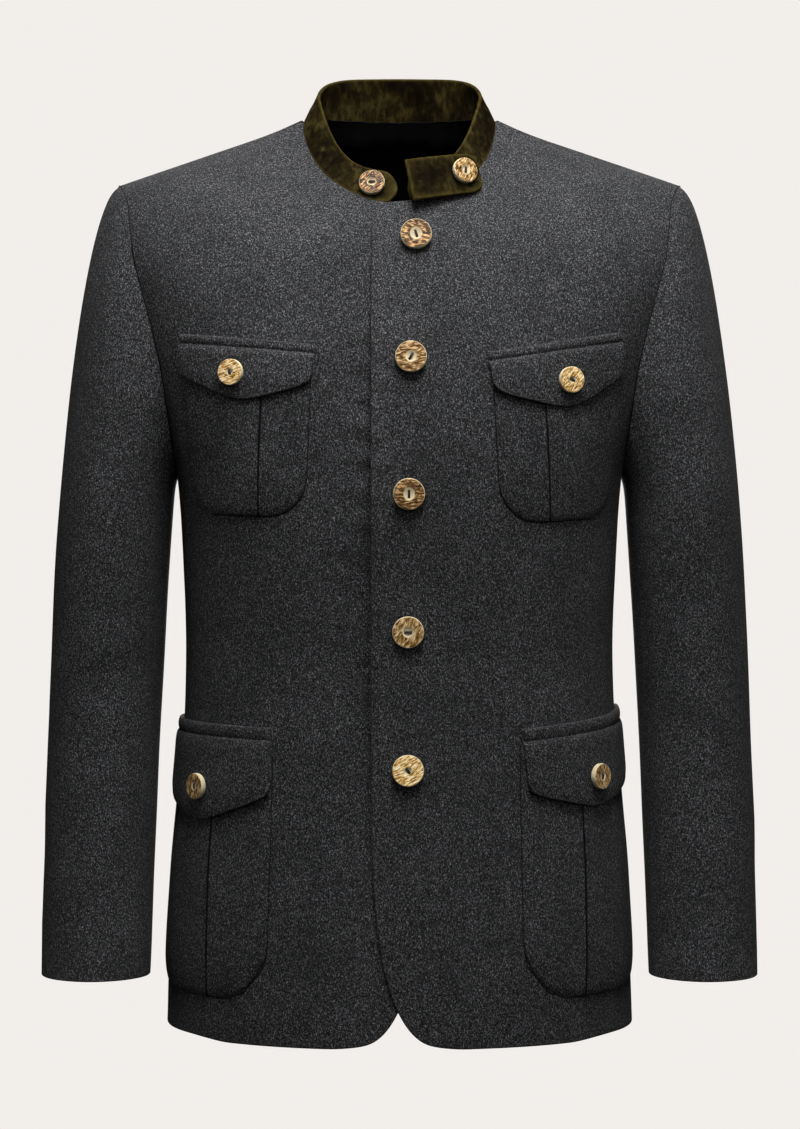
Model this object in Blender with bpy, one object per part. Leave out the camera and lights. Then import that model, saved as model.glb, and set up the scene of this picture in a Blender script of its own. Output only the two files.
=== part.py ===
"""Trachten jacket of fulled grey wool with a velvet stand collar, filled out as worn with no wearer.

Metres, +Z up. The front looks towards -Y and the wearer's left is +X. The origin lies midway between
the two points where the collar meets the shoulder seams. Every cloth piece is a wall of its own:
its outside is worked out from the body, sleeve and collar sections below, its inside is set in from it.
"""
import math
from collections import namedtuple

import bmesh
import bpy
import numpy as np
from mathutils import Matrix, Vector

# Cloth walls and the room that pieces keep
WOOL = 0.0025
POCKET_WOOL = 0.0016
FLAP_WOOL = 0.0022
VELVET = 0.0030
LINING = 0.0010
SEAM_GAP = 0.0003
LINING_GAP = 0.0006
LINING_INSET = 0.25
LINING_COLUMNS = 9
PATCH_GAP = 0.0009
BUTTON_GAP = 0.0007

# Body outline from the hem up: half the width, depth to the front and back, and how square the ring is
Section = namedtuple("Section", "height half_width front back squareness")
HEM = -0.721
BODY = (
    Section(HEM, 0.1855, 0.1480, 0.142, 2.20),
    Section(-0.680, 0.1845, 0.1445, 0.139, 2.20),
    Section(-0.620, 0.1812, 0.1385, 0.131, 2.20),
    Section(-0.560, 0.1770, 0.1320, 0.120, 2.20),
    Section(-0.500, 0.1730, 0.1280, 0.108, 2.25),
    Section(-0.424, 0.1700, 0.1250, 0.100, 2.30),
    Section(-0.360, 0.1724, 0.1280, 0.105, 2.35),
    Section(-0.285, 0.1775, 0.1300, 0.115, 2.40),
    Section(-0.237, 0.1925, 0.1270, 0.121, 2.40),
    Section(-0.203, 0.2020, 0.1230, 0.124, 2.40),
    Section(-0.155, 0.2165, 0.1110, 0.123, 2.40),
    Section(-0.115, 0.2265, 0.0970, 0.117, 2.35),
    Section(-0.075, 0.2320, 0.0720, 0.107, 2.00),
    Section(-0.056, 0.2285, 0.0565, 0.100, 1.75),
    Section(-0.040, 0.1865, 0.0430, 0.092, 1.60),
    Section(-0.024, 0.1405, 0.0300, 0.083, 1.60),
    Section(-0.008, 0.0944, 0.0170, 0.073, 1.60),
    Section(0.000, 0.0780, 0.0080, 0.067, 1.60),
    Section(0.006, 0.0720, 0.0040, 0.062, 1.70),
    Section(0.012, 0.0660, 0.0020, 0.057, 1.80),
)

# The hem rises a little where it goes round the sides, from one share of the half width to another
HEM_RISE = 0.0028
HEM_RISES_FROM = 0.70
HEM_RISES_TO = 0.92

# Front edges: how far each front passes the middle, and the rounded lower corner
LEFT_OVERLAP = 0.021
RIGHT_OVERLAP = 0.019
CORNER_TOP = -0.520
CORNER_WIDTH = 0.066
CORNER_SQUARENESS = 3.0
NECK_CORNER_DROP = 0.0015
LAP_LIFT = WOOL + 0.0005
LAP_STARTS = 0.058
LAP_FULL = 0.036

# Neckline: an upright oval that cuts the body
NECK_SIDE = 0.078
NECK_FRONT = 0.072
NECK_BACK = 0.062
NECK_TURNS = (0, 8, 18, 28, 39, 51, 64, 77, 90)
BACK_NECK_COLUMNS = 6
SHOULDER_COLUMNS = 6
LAP_COLUMNS = 2

# Armhole: an egg in the side view, wider below
ARM_TOP = -0.0525
ARM_BOTTOM = -0.285
ARM_FRONT = 0.058
ARM_BACK = 0.066
ARM_EGG = 0.25
CHEST_TURN = math.radians(138)
SIDE_TURN = math.radians(200)
ARM_ROWS = 9
UNDERARM_FRONT_COLUMNS = 4
UNDERARM_BACK_COLUMNS = 2

# Shares of the height from hem to chest line where rows lie; the fronts need more in the round corner
FRONT_ROWS = (0, 0.0045, 0.014, 0.035, 0.08, 0.14, 0.22, 0.325, 0.42, 0.51, 0.60, 0.69, 0.78,
              0.86, 0.92, 0.96, 1)
BACK_ROWS = (0, 0.10, 0.21, 0.325, 0.42, 0.51, 0.60, 0.69, 0.78, 0.86, 0.92, 0.96, 1)

# Sleeve from the biceps down to the cuff
Cuff = namedtuple("Cuff", "height middle_x middle_y half_width half_depth")
SLEEVE = (
    Cuff(-0.678, 0.2394, -0.034, 0.0432, 0.0515),
    Cuff(-0.616, 0.2390, -0.020, 0.0443, 0.0540),
    Cuff(-0.552, 0.2378, -0.009, 0.0450, 0.0575),
    Cuff(-0.488, 0.2358, -0.001, 0.0451, 0.0612),
    Cuff(-0.424, 0.2332, 0.003, 0.0455, 0.0650),
    Cuff(-0.360, 0.2300, 0.004, 0.0461, 0.0685),
    Cuff(-0.315, 0.2270, 0.004, 0.0461, 0.0705),
)
SLEEVE_ROWS = 9
CAP_ROWS = 8
CAP_CROWDING = 1.5
# How the sleeve head leaves the armhole at its top, sides and bottom: direction, and reach at each end
Leave = namedtuple("Leave", "out forward up start_reach end_reach")
HEAD_TOP = Leave(1.0, 0.0, -0.08, 0.070, 0.300)
HEAD_SIDE = Leave(0.80, 0.35, -0.50, 0.085, 0.120)
HEAD_BOTTOM = Leave(0.30, 0.0, -0.95, 0.030, 0.030)

# Collar top edge at turns from the front; its base is the neckline
Rim = namedtuple("Rim", "turn height")
COLLAR_TOP = (
    Rim(0, -0.0485),
    Rim(25, -0.0435),
    Rim(40, -0.0340),
    Rim(54, -0.0175),
    Rim(63, -0.0036),
    Rim(73, 0.0110),
    Rim(90, 0.0200),
    Rim(110, 0.0305),
    Rim(130, 0.0365),
    Rim(155, 0.0400),
    Rim(180, 0.0410),
)
COLLAR_TOP_SIDE = 0.066
COLLAR_TOP_FRONT = 0.051
COLLAR_TOP_BACK = 0.055
COLLAR_BACK_SQUARENESS = 0.7
COLLAR_ROWS = (0, 0.10, 0.35, 0.65, 0.90, 1)
COLLAR_BACK_TURNS = range(105, 270, 15)
COLLAR_END = 8
RIGHT_TONGUE = 7.6
LEFT_TONGUE = 3.0

# Collar tab seen from the front: corners as x and height, then how it leans and bends back
TAB_CORNERS = {"low_in": (0.0105, -0.0750), "low_out": (0.0650, -0.0650),
               "high_in": (0.0041, -0.0420), "high_out": (0.0583, -0.0338)}
TAB_LEAN = 0.52
TAB_TURN = 0.12
TAB_BEND = 3.4
TAB_ROUND_STARTS = 0.9
TAB_ROUND = 0.35
TAB_COLUMNS = 9
TAB_ROWS = 5

# Patch pockets. Arc is the way round the body from the front centre to the pocket's middle, at its top
Pocket = namedtuple("Pocket", "name side arc top width height corner pleat tilt")
POCKETS = (
    Pocket("chest", -1, 0.1208, -0.1830, 0.107, 0.135, 0.028, 0.0165, 2.2),
    Pocket("chest", 1, 0.1248, -0.1840, 0.109, 0.138, 0.028, 0.0155, 3.5),
    Pocket("hip", -1, 0.1788, -0.4785, 0.160, 0.2085, 0.042, 0.0260, 1.6),
    Pocket("hip", 1, 0.1742, -0.4745, 0.160, 0.2120, 0.042, 0.0255, 0.8),
)
POCKET_ROWS = (0, 0.12, 0.28, 0.45, 0.62, 0.78, 0.90, 0.975, 1)
POCKET_SIDE_COLUMNS = 4
PLEAT_STEP = 0.0012
PLEAT_FOLD = 0.0008
POCKET_BULGE = 0.0018
BULGE_REACH = 0.030
POCKET_EDGE = 0.0030
SOFT_EDGE = 0.0006
POCKET_STARTS = 0.0200

# Pocket flaps: a stitched fold along the top, then a blade that is longest at its tip
Flap = namedtuple("Flap", "name side arc top width fold side_length tip_length tip_across tilt"
                          " button_across button_down")
FLAPS = (
    Flap("chest", -1, 0.1193, -0.1831, 0.111, 0.0065, 0.0300, 0.0464, -0.0024, 5.8, 0.0055, 0.0267),
    Flap("chest", 1, 0.1221, -0.1854, 0.111, 0.0065, 0.0305, 0.0503, 0.0022, 9.5, 0.0029, 0.0302),
    Flap("hip", -1, 0.1760, -0.4784, 0.156, 0.0090, 0.0520, 0.0750, -0.0100, 1.9, -0.0126, 0.0488),
    Flap("hip", 1, 0.1730, -0.4746, 0.156, 0.0090, 0.0495, 0.0670, -0.0140, 5.3, -0.0144, 0.0441),
)
FLAP_COLUMNS = (0, 0.20, 0.42, 0.62, 0.82, 0.96, 1)
FLAP_ROWS = (0.30, 0.65, 0.95, 1)
FLAP_CORNER = 0.007
TIP_ROUND = 0.14
FOLD_RAISE = 0.0013
FOLD_SQUARENESS = 0.5
FOLD_EDGE = 0.0012
FOLD_STEP = 0.0030
FLAP_OVER_POCKET = POCKET_WOOL + PLEAT_STEP + SEAM_GAP
FLAP_CURL = 0.0010

# Stag-horn buttons: thickness, a profile in shares of the radius and thickness, radii, the share of the
# cloth's slope by which they tip forward, and the share of the radius at which they then rest on it
BUTTON_HEIGHT = 0.0046
BUTTON_PROFILE = ((0, 0), (0.90, 0), (1, 0.28), (1, 0.66), (0.88, 1), (0.55, 0.97), (0, 0.78))
FRONT_BUTTON = 0.0120
SMALL_BUTTON = 0.0100
BUTTON_SEGMENTS = 16
BUTTON_TIP = 0.5
BUTTON_REST = 0.68
# Places of the front buttons: x and height on the left front
FRONT_BUTTONS = ((0.0127, -0.1050), (0.0087, -0.1987), (0.0072, -0.3022), (0.0065, -0.4068),
                 (0.0064, -0.5121))
# Turn of the collar button from the front centre, and the share of the collar's height where it sits
COLLAR_BUTTON_TURN = 343
COLLAR_BUTTON_SHARE = 0.42
# Row and column of the tab's grid where its button sits
TAB_BUTTON = (2, 6)

GREY_WOOL = (0.060, 0.061, 0.066)
OLIVE_VELVET = (0.028, 0.023, 0.008)
BLACK_LINING = (0.006, 0.006, 0.006)
HORN = (0.30, 0.19, 0.08)
CLOTH_ROUGHNESS = 0.9
LINING_ROUGHNESS = 0.5
HORN_ROUGHNESS = 0.35

# How finely rings are measured and places are searched for
RING_STEPS = 400
SETTLE_STEPS = 12
DROP_STEPS = 45
DROP_FLOOR = -0.2
SHARPEST_MITRE = 0.4
TAB_LIES_TO_TURN = 75
TAB_LIES_ROWS = 25
NORMAL_TURN = 3


def smooth_column(rows, along, name):
    """A curve through one column of a table that never overshoots its rows."""
    place = np.array([getattr(row, along) for row in rows], dtype=float)
    value = np.array([getattr(row, name) for row in rows], dtype=float)
    step = np.diff(place)
    rise = np.diff(value) / step
    both = rise[:-1] + rise[1:]
    product = rise[:-1] * rise[1:]
    inner = np.where(product > 0, 2 * product / np.where(both == 0, 1, both), 0)
    slope = np.concatenate([rise[:1], inner, rise[-1:]])

    def at(where):
        where = np.clip(where, place[0], place[-1])
        row = np.clip(np.searchsorted(place, where) - 1, 0, len(step) - 1)
        share = (where - place[row]) / step[row]
        start = (1 + 2 * share) * (1 - share) ** 2 * value[row]
        start_slope = share * (1 - share) ** 2 * step[row] * slope[row]
        end = share ** 2 * (3 - 2 * share) * value[row + 1]
        end_slope = share ** 2 * (share - 1) * step[row] * slope[row + 1]
        return start + start_slope + end + end_slope

    return at


half_width = smooth_column(BODY, "height", "half_width")
front_depth = smooth_column(BODY, "height", "front")
back_depth = smooth_column(BODY, "height", "back")
squareness = smooth_column(BODY, "height", "squareness")
rim_height = smooth_column(COLLAR_TOP, "turn", "height")


def smooth_step(share):
    share = np.clip(share, 0, 1)
    return share * share * (3 - 2 * share)


def stack(x, y, z):
    return np.stack(np.broadcast_arrays(x, y, z), axis=-1).astype(float)


def unit(vectors):
    return vectors / np.linalg.norm(vectors, axis=-1, keepdims=True)


# The body's outside


def body_ring(angle, height):
    """A point at an angle from the front centre, round the wearer's left side to the back."""
    power = 2 / squareness(height)
    across = np.sin(angle)
    ahead = np.cos(angle)
    depth = np.where(ahead >= 0, front_depth(height), back_depth(height))
    x = half_width(height) * np.sign(across) * np.abs(across) ** power
    y = -depth * np.sign(ahead) * np.abs(ahead) ** power
    return stack(x, y, height)


def ring_angle(points):
    x, y, height = np.moveaxis(points, -1, 0)
    power = squareness(height) / 2
    depth = np.where(y < 0, front_depth(height), back_depth(height))
    across = np.sign(x) * (np.abs(x) / half_width(height)) ** power
    ahead = -np.sign(y) * (np.abs(y) / depth) ** power
    return np.arctan2(across, ahead)


def even_angles(start, end, columns, height):
    """Angles from start to end that lie evenly along the ring."""
    fine = np.linspace(start, end, RING_STEPS)
    steps = np.linalg.norm(np.diff(body_ring(fine, height), axis=0), axis=1)
    length = np.concatenate([[0], np.cumsum(steps)])
    return np.interp(np.linspace(0, length[-1], columns + 1), length, fine)


def body_level(points):
    """Below 1 inside the body, 1 on it and above 1 outside."""
    x, y, height = np.moveaxis(points, -1, 0)
    depth = np.where(y < 0, front_depth(height), back_depth(height))
    power = squareness(height)
    return (np.abs(x) / half_width(height)) ** power + (np.abs(y) / depth) ** power


def body_slope(points):
    nudge = 1e-5
    slopes = [(body_level(points + nudge * axis) - body_level(points - nudge * axis)) / (2 * nudge)
              for axis in np.eye(3)]
    return np.stack(slopes, axis=-1)


def body_normal(points):
    return unit(body_slope(points))


def settle(points):
    """Moves points straight on to the body."""
    for _ in range(SETTLE_STEPS):
        slope = body_slope(points)
        miss = body_level(points) - 1
        points = points - slope * (miss / (slope ** 2).sum(axis=-1))[..., None]
    return points


def drop_to_body(x, y):
    """Where an upright line through x, y meets the body."""
    x, y = np.broadcast_arrays(np.asarray(x, float), np.asarray(y, float))
    low = np.full(x.shape, DROP_FLOOR)
    high = np.full(x.shape, BODY[-1].height)
    for _ in range(DROP_STEPS):
        middle = (low + high) / 2
        outside = body_level(stack(x, y, middle)) > 1
        high = np.where(outside, middle, high)
        low = np.where(outside, low, middle)
    return stack(x, y, low)


def front_at(x, height):
    """The point of the front at x and height."""
    power = squareness(height)
    share = np.clip(np.abs(x) / half_width(height), 0, 1) ** power
    return stack(x, -front_depth(height) * (1 - share) ** (1 / power), height)


# Seam lines


def neckline(turn):
    y = np.where(np.cos(turn) > 0, -NECK_FRONT, -NECK_BACK) * np.cos(turn)
    return drop_to_body(NECK_SIDE * np.sin(turn), y)


def shoulder_seam(columns):
    x = np.linspace(NECK_SIDE, armhole(0.0)[0], columns + 1)
    return drop_to_body(x, 0.0)


def armhole(turn):
    """Armhole seam of the left side, turning from the shoulder over the front to the underarm and back."""
    middle = (ARM_TOP + ARM_BOTTOM) / 2
    half = (ARM_TOP - ARM_BOTTOM) / 2
    height = middle + half * np.cos(turn)
    reach = np.where(np.sin(turn) >= 0, -ARM_FRONT, -ARM_BACK)
    y = reach * np.sin(turn) * (1 - ARM_EGG * np.cos(turn))
    depth = np.where(y < 0, front_depth(height), back_depth(height))
    power = squareness(height)
    x = half_width(height) * (1 - (np.abs(y) / depth) ** power) ** (1 / power)
    return stack(x, y, height)


def front_edge(height, overlap):
    """x of the left front's edge, straight above and rounded away below."""
    share = np.clip((CORNER_TOP - height) / (CORNER_TOP - HEM), 0, 1)
    inset = 1 - (1 - share ** CORNER_SQUARENESS) ** (1 / CORNER_SQUARENESS)
    return -overlap + CORNER_WIDTH * inset


NECK_ANGLES = np.radians(NECK_TURNS)
FRONT_ARM_TURNS = np.linspace(CHEST_TURN, 0, ARM_ROWS + 1)
UNDER_FRONT_TURNS = np.linspace(CHEST_TURN, SIDE_TURN, UNDERARM_FRONT_COLUMNS + 1)
UNDER_BACK_TURNS = np.linspace(2 * math.pi - CHEST_TURN, SIDE_TURN, UNDERARM_BACK_COLUMNS + 1)
BACK_ARM_TURNS = np.linspace(2 * math.pi - CHEST_TURN, 2 * math.pi, ARM_ROWS + 1)
CHEST = float(armhole(CHEST_TURN)[2])
SIDE_ANGLE = float(ring_angle(armhole(SIDE_TURN)))


# Sheets: points with faces, and the walls made from them


def grid_faces(rows, columns):
    return [(r * columns + c, r * columns + c + 1, (r + 1) * columns + c + 1, (r + 1) * columns + c)
            for r in range(rows - 1) for c in range(columns - 1)]


def join_grids(*grids):
    """One sheet from grids that share edge points."""
    index = {}
    points = []
    faces = []
    for grid in grids:
        rows, columns = grid.shape[:2]
        numbers = []
        for point in grid.reshape(-1, 3):
            key = tuple(np.round(point, 7))
            if key not in index:
                index[key] = len(points)
                points.append(point)
            numbers.append(index[key])
        faces += [tuple(numbers[i] for i in face) for face in grid_faces(rows, columns)]
    return np.array(points), faces


def edges_of(face):
    return list(zip(face, face[1:] + face[:1]))


def open_edges(faces):
    """Edges, with their face, that no second face shares."""
    known = {edge for face in faces for edge in edges_of(face)}
    return [(start, end, face) for face in faces for start, end in edges_of(face)
            if (end, start) not in known]


def pull_in(points, faces, amount):
    """Draws a sheet's edges in by an amount."""
    inward = {}
    for start, end, face in open_edges(faces):
        along = unit(points[end] - points[start])
        across = points[list(face)].mean(axis=0) - points[start]
        across = unit(across - along * (across @ along))
        inward.setdefault(start, []).append(across)
        inward.setdefault(end, []).append(across)
    moved = points.copy()
    for corner, ways in inward.items():
        sharpness = 1 + ways[0] @ ways[-1]
        moved[corner] += amount * (ways[0] + ways[-1]) / max(sharpness, SHARPEST_MITRE)
    return moved


def coons(bottom, top, left, right):
    """Fills four edges; bottom and top run outwards, left and right run upwards."""
    across = np.linspace(0, 1, len(bottom))[None, :, None]
    up = np.linspace(0, 1, len(left))[:, None, None]
    ruled_up = (1 - up) * bottom[None] + up * top[None]
    ruled_across = (1 - across) * left[:, None] + across * right[:, None]
    low = (1 - across) * bottom[0] + across * bottom[-1]
    high = (1 - across) * top[0] + across * top[-1]
    return ruled_up + ruled_across - (1 - up) * low - up * high


def grid_normals(grid):
    """Normals of a grid whose rows run up and whose columns run outwards to the wearer's left."""
    up = np.gradient(grid, axis=0)
    across = np.gradient(grid, axis=1)
    return unit(np.cross(across, up))


def mirrored(points):
    return points * np.array([-1.0, 1.0, 1.0])


def material(name, colour, roughness):
    made = bpy.data.materials.new(name)
    made.use_nodes = True
    shader = made.node_tree.nodes["Principled BSDF"]
    shader.inputs["Base Color"].default_value = (*colour, 1)
    shader.inputs["Roughness"].default_value = roughness
    return made


def cut_quads(points, faces):
    """Triangles of a sheet, each face cut across its shorter way."""
    triangles = []
    for a, b, c, d in faces:
        if np.linalg.norm(points[a] - points[c]) < np.linalg.norm(points[b] - points[d]):
            triangles += [(a, b, c), (a, c, d)]
        else:
            triangles += [(a, b, d), (b, c, d)]
    return triangles


def add_wall(name, outer, inner, faces, colour, roughness=CLOTH_ROUGHNESS):
    """A closed solid between an outer and an inner sheet, both cut into triangles alike."""
    count = len(outer)
    rims = [(end, start, start + count, end + count) for start, end, _ in open_edges(faces)]
    faces = cut_quads(outer, faces)
    insides = [tuple(i + count for i in reversed(face)) for face in faces]
    mesh = bpy.data.meshes.new(name)
    mesh.from_pydata(np.concatenate([outer, inner]).tolist(), [], faces + insides + rims)
    shape = bmesh.new()
    shape.from_mesh(mesh)
    bmesh.ops.recalc_face_normals(shape, faces=shape.faces)
    shape.to_mesh(mesh)
    shape.free()
    mesh.materials.append(material(name, colour, roughness))
    piece = bpy.data.objects.new(name, mesh)
    bpy.context.collection.objects.link(piece)


def add_pair(name, outer, inner, faces, colour):
    add_wall(name + "_left", outer, inner, faces, colour)
    add_wall(name + "_right", mirrored(outer), mirrored(inner), faces, colour)


# Body panels


def lower_grid(top_points, rows, edge_angle):
    """Rows from the hem up to a panel's chest line. edge_angle gives the panel's inner edge at a height."""
    top_angle = ring_angle(top_points)
    top_height = top_points[:, 2]
    top_share = (top_angle - edge_angle(top_height)) / (SIDE_ANGLE - edge_angle(top_height))
    hem_angle = even_angles(edge_angle(HEM), SIDE_ANGLE, len(top_points) - 1, HEM)
    hem_share = (hem_angle - edge_angle(HEM)) / (SIDE_ANGLE - edge_angle(HEM))
    sideways = np.abs(np.sin(hem_angle))
    hem = HEM + HEM_RISE * smooth_step((sideways - HEM_RISES_FROM) / (HEM_RISES_TO - HEM_RISES_FROM))
    grid = []
    for rise in rows:
        height = hem + rise * (top_height - hem)
        start = edge_angle(height)
        share = hem_share + rise * (top_share - hem_share)
        grid.append(body_ring(start + share * (SIDE_ANGLE - start), height))
    grid[-1] = top_points
    return np.array(grid)


def front_sheet(overlap):
    """A left front whose edge passes the middle by an overlap."""
    def edge_angle(height):
        x = front_edge(height, overlap)
        return ring_angle(front_at(x, height))

    neck_height = float(neckline(0.0)[2])
    share = np.linspace(1, 0, LAP_COLUMNS + 1)[:-1]
    lap = front_at(-overlap * share, neck_height - NECK_CORNER_DROP * share)
    top = np.concatenate([lap, neckline(NECK_ANGLES), shoulder_seam(SHOULDER_COLUMNS)[1:]])
    right = armhole(FRONT_ARM_TURNS)
    start = float(edge_angle(CHEST))
    angles = even_angles(start, float(ring_angle(right[0])), len(top) - 1, CHEST)
    chest_line = body_ring(angles, CHEST)
    chest_line[-1] = right[0]
    left = front_at(-overlap, np.linspace(CHEST, lap[0][2], ARM_ROWS + 1))
    upper = settle(coons(chest_line, top, left, right))
    upper[0] = chest_line
    underarm = armhole(UNDER_FRONT_TURNS)[1:]
    lower = lower_grid(np.concatenate([chest_line, underarm]), FRONT_ROWS, edge_angle)
    return join_grids(lower, upper)


def back_sheets():
    """The left half of the back, whole and its part above the chest line."""
    def edge_angle(height):
        return np.full(np.shape(height), math.pi)

    neck = neckline(np.linspace(math.pi, math.pi / 2, BACK_NECK_COLUMNS + 1))
    neck[0][0] = 0.0
    top = np.concatenate([neck, shoulder_seam(SHOULDER_COLUMNS)[1:]])
    right = armhole(BACK_ARM_TURNS)
    angles = even_angles(math.pi, float(ring_angle(right[0])), len(top) - 1, CHEST)
    chest_line = body_ring(angles, CHEST)
    chest_line[0][0] = 0.0
    chest_line[-1] = right[0]
    heights = np.linspace(CHEST, top[0][2], ARM_ROWS + 1)
    left = stack(0.0, back_depth(heights), heights)
    upper = settle(coons(chest_line, top, left, right))
    upper[0] = chest_line
    upper[:, 0, 0] = 0.0
    underarm = armhole(UNDER_BACK_TURNS)[1:]
    lower = lower_grid(np.concatenate([chest_line, underarm]), BACK_ROWS, edge_angle)
    lower[:, 0, 0] = 0.0
    return join_grids(lower, upper), upper


def lap_lift(points):
    """How far the left front stands out where it laps over the right one."""
    return LAP_LIFT * smooth_step((LAP_STARTS - points[..., 0]) / (LAP_STARTS - LAP_FULL))


def build_panels():
    points, faces = front_sheet(LEFT_OVERLAP)
    normal = body_normal(points)
    points = pull_in(points, faces, SEAM_GAP / 2)
    lift = lap_lift(points)[:, None]
    left_front = points + normal * lift
    add_wall("front_left", left_front, points + normal * (lift - WOOL), faces, GREY_WOOL)

    points, faces = front_sheet(RIGHT_OVERLAP)
    normal = body_normal(points)
    points = pull_in(points, faces, SEAM_GAP / 2)
    inner = points - normal * WOOL
    add_wall("front_right", mirrored(points), mirrored(inner), faces, GREY_WOOL)

    (points, faces), upper = back_sheets()
    normal = body_normal(points)
    points = pull_in(points, faces, SEAM_GAP / 2)
    add_pair("back", points, points - normal * WOOL, faces, GREY_WOOL)
    build_lining(upper)
    return left_front


def build_lining(back_half):
    """The lining of the upper back, inside both halves and short of their seams."""
    half = back_half[:, :LINING_COLUMNS + 1]
    back = np.concatenate([mirrored(half)[:, :0:-1], half], axis=1)
    normal = body_normal(back)

    def set_in(depth):
        grid = back - normal * depth
        grid[-1] += LINING_INSET * (grid[-2] - grid[-1])
        return grid

    points, faces = join_grids(set_in(WOOL + LINING_GAP))
    inner = set_in(WOOL + LINING_GAP + LINING).reshape(-1, 3)
    add_wall("back_lining", points, inner, faces, BLACK_LINING, LINING_ROUGHNESS)


# Sleeves


def sleeve_grid(turns):
    """Rows from the cuff up to the armhole for columns at the armhole turns given."""
    rings = []
    columns = {name: smooth_column(SLEEVE, "height", name) for name in Cuff._fields[1:]}
    for height in np.linspace(SLEEVE[0].height, SLEEVE[-1].height, SLEEVE_ROWS + 1):
        x = columns["middle_x"](height) + columns["half_width"](height) * np.cos(turns)
        y = columns["middle_y"](height) - columns["half_depth"](height) * np.sin(turns)
        rings.append(stack(x, y, height))
    biceps = rings[-1]
    seam = armhole(turns)
    top = np.clip(np.cos(turns), 0, 1)[:, None] ** 2
    bottom = np.clip(-np.cos(turns), 0, 1)[:, None] ** 2
    side = np.sin(turns)[:, None] ** 2
    facing = np.sign(np.sin(turns))

    def blend(value):
        return top * value(HEAD_TOP) + side * value(HEAD_SIDE) + bottom * value(HEAD_BOTTOM)

    leave = unit(np.concatenate([blend(lambda h: h.out), -facing[:, None] * blend(lambda h: h.forward),
                                 blend(lambda h: h.up)], axis=1))
    start_reach = blend(lambda h: h.start_reach)
    end_reach = blend(lambda h: h.end_reach)
    arrive = unit(rings[-2] - rings[-1])
    for row in range(CAP_ROWS - 1, -1, -1):
        t = (row / CAP_ROWS) ** CAP_CROWDING
        rings.append((1 + 2 * t) * (1 - t) ** 2 * seam + t * (1 - t) ** 2 * start_reach * leave
                     + t * t * (3 - 2 * t) * biceps + t * t * (t - 1) * end_reach * arrive)
    return np.array(rings)


def build_sleeves():
    top_turns = np.concatenate([BACK_ARM_TURNS - 2 * math.pi, FRONT_ARM_TURNS[::-1][1:]])
    under_turns = np.concatenate([UNDER_FRONT_TURNS[1:], UNDER_BACK_TURNS[::-1][1:]])
    tube = sleeve_grid(np.concatenate([top_turns, under_turns]))
    wrapped = np.concatenate([tube[:, -2:], tube[:, 1:2]], axis=1)
    normal = -grid_normals(tube)
    normal[:, 0] = -grid_normals(wrapped)[:, 1]
    normal[:, -1] = normal[:, 0]
    seam = len(top_turns) - 1
    for name, span in (("top_sleeve", slice(0, seam + 1)), ("under_sleeve", slice(seam, None))):
        points, faces = join_grids(tube[:, span])
        points = pull_in(points, faces, SEAM_GAP / 2)
        add_pair(name, points, points - normal[:, span].reshape(-1, 3) * WOOL, faces, GREY_WOOL)


# Collar and its tab


def collar_point(turn, share):
    """Outside of the collar at a turn from the front centre over the left, and a share of its height."""
    base = neckline(turn)
    round_back = np.where(np.cos(turn) > 0, 1.0, COLLAR_BACK_SQUARENESS)
    x = COLLAR_TOP_SIDE * np.sign(np.sin(turn)) * np.abs(np.sin(turn)) ** round_back
    reach = np.where(np.cos(turn) > 0, -COLLAR_TOP_FRONT, COLLAR_TOP_BACK)
    y = reach * np.abs(np.cos(turn)) ** round_back
    degrees = np.degrees(turn) % 360
    top = stack(x, y, rim_height(np.minimum(degrees, 360 - degrees)))
    return base + (top - base) * np.asarray(share)[..., None]


def build_collar():
    left = list(NECK_TURNS[1:])
    back = list(COLLAR_BACK_TURNS)
    right = [360 - turn for turn in reversed(NECK_TURNS[1:])]
    turns = np.radians(np.tile(np.array(left + back + right, float), (len(COLLAR_ROWS), 1)))
    shares = np.array(COLLAR_ROWS)
    tongue = np.sin(math.pi * shares)
    turns[:, 0] = np.radians(COLLAR_END - LEFT_TONGUE * tongue)
    turns[:, -1] = np.radians(360 - COLLAR_END + RIGHT_TONGUE * tongue)
    grid = collar_point(turns, np.repeat(shares[:, None], turns.shape[1], axis=1))
    normal = grid_normals(grid)
    points, faces = join_grids(grid)
    points = pull_in(points, faces, SEAM_GAP / 2)
    add_wall("collar", points, points - normal.reshape(-1, 3) * VELVET, faces, OLIVE_VELVET)


def tab_place(along, up):
    """x and height of a place on the tab, from its inner end and from its lower edge."""
    corner = {name: np.array(place) for name, place in TAB_CORNERS.items()}
    past = np.clip((along - TAB_ROUND_STARTS) / (1 - TAB_ROUND_STARTS), 0, 1)
    rounding = np.sqrt(1 - TAB_ROUND * past ** 2)
    up = 0.5 + (up - 0.5) * rounding
    along, up = np.asarray(along)[..., None], np.asarray(up)[..., None]
    low = (1 - along) * corner["low_in"] + along * corner["low_out"]
    high = (1 - along) * corner["high_in"] + along * corner["high_out"]
    return (1 - up) * low + up * high


def tab_form(x, height):
    return TAB_LEAN * height + TAB_TURN * x + TAB_BEND * x * x


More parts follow.
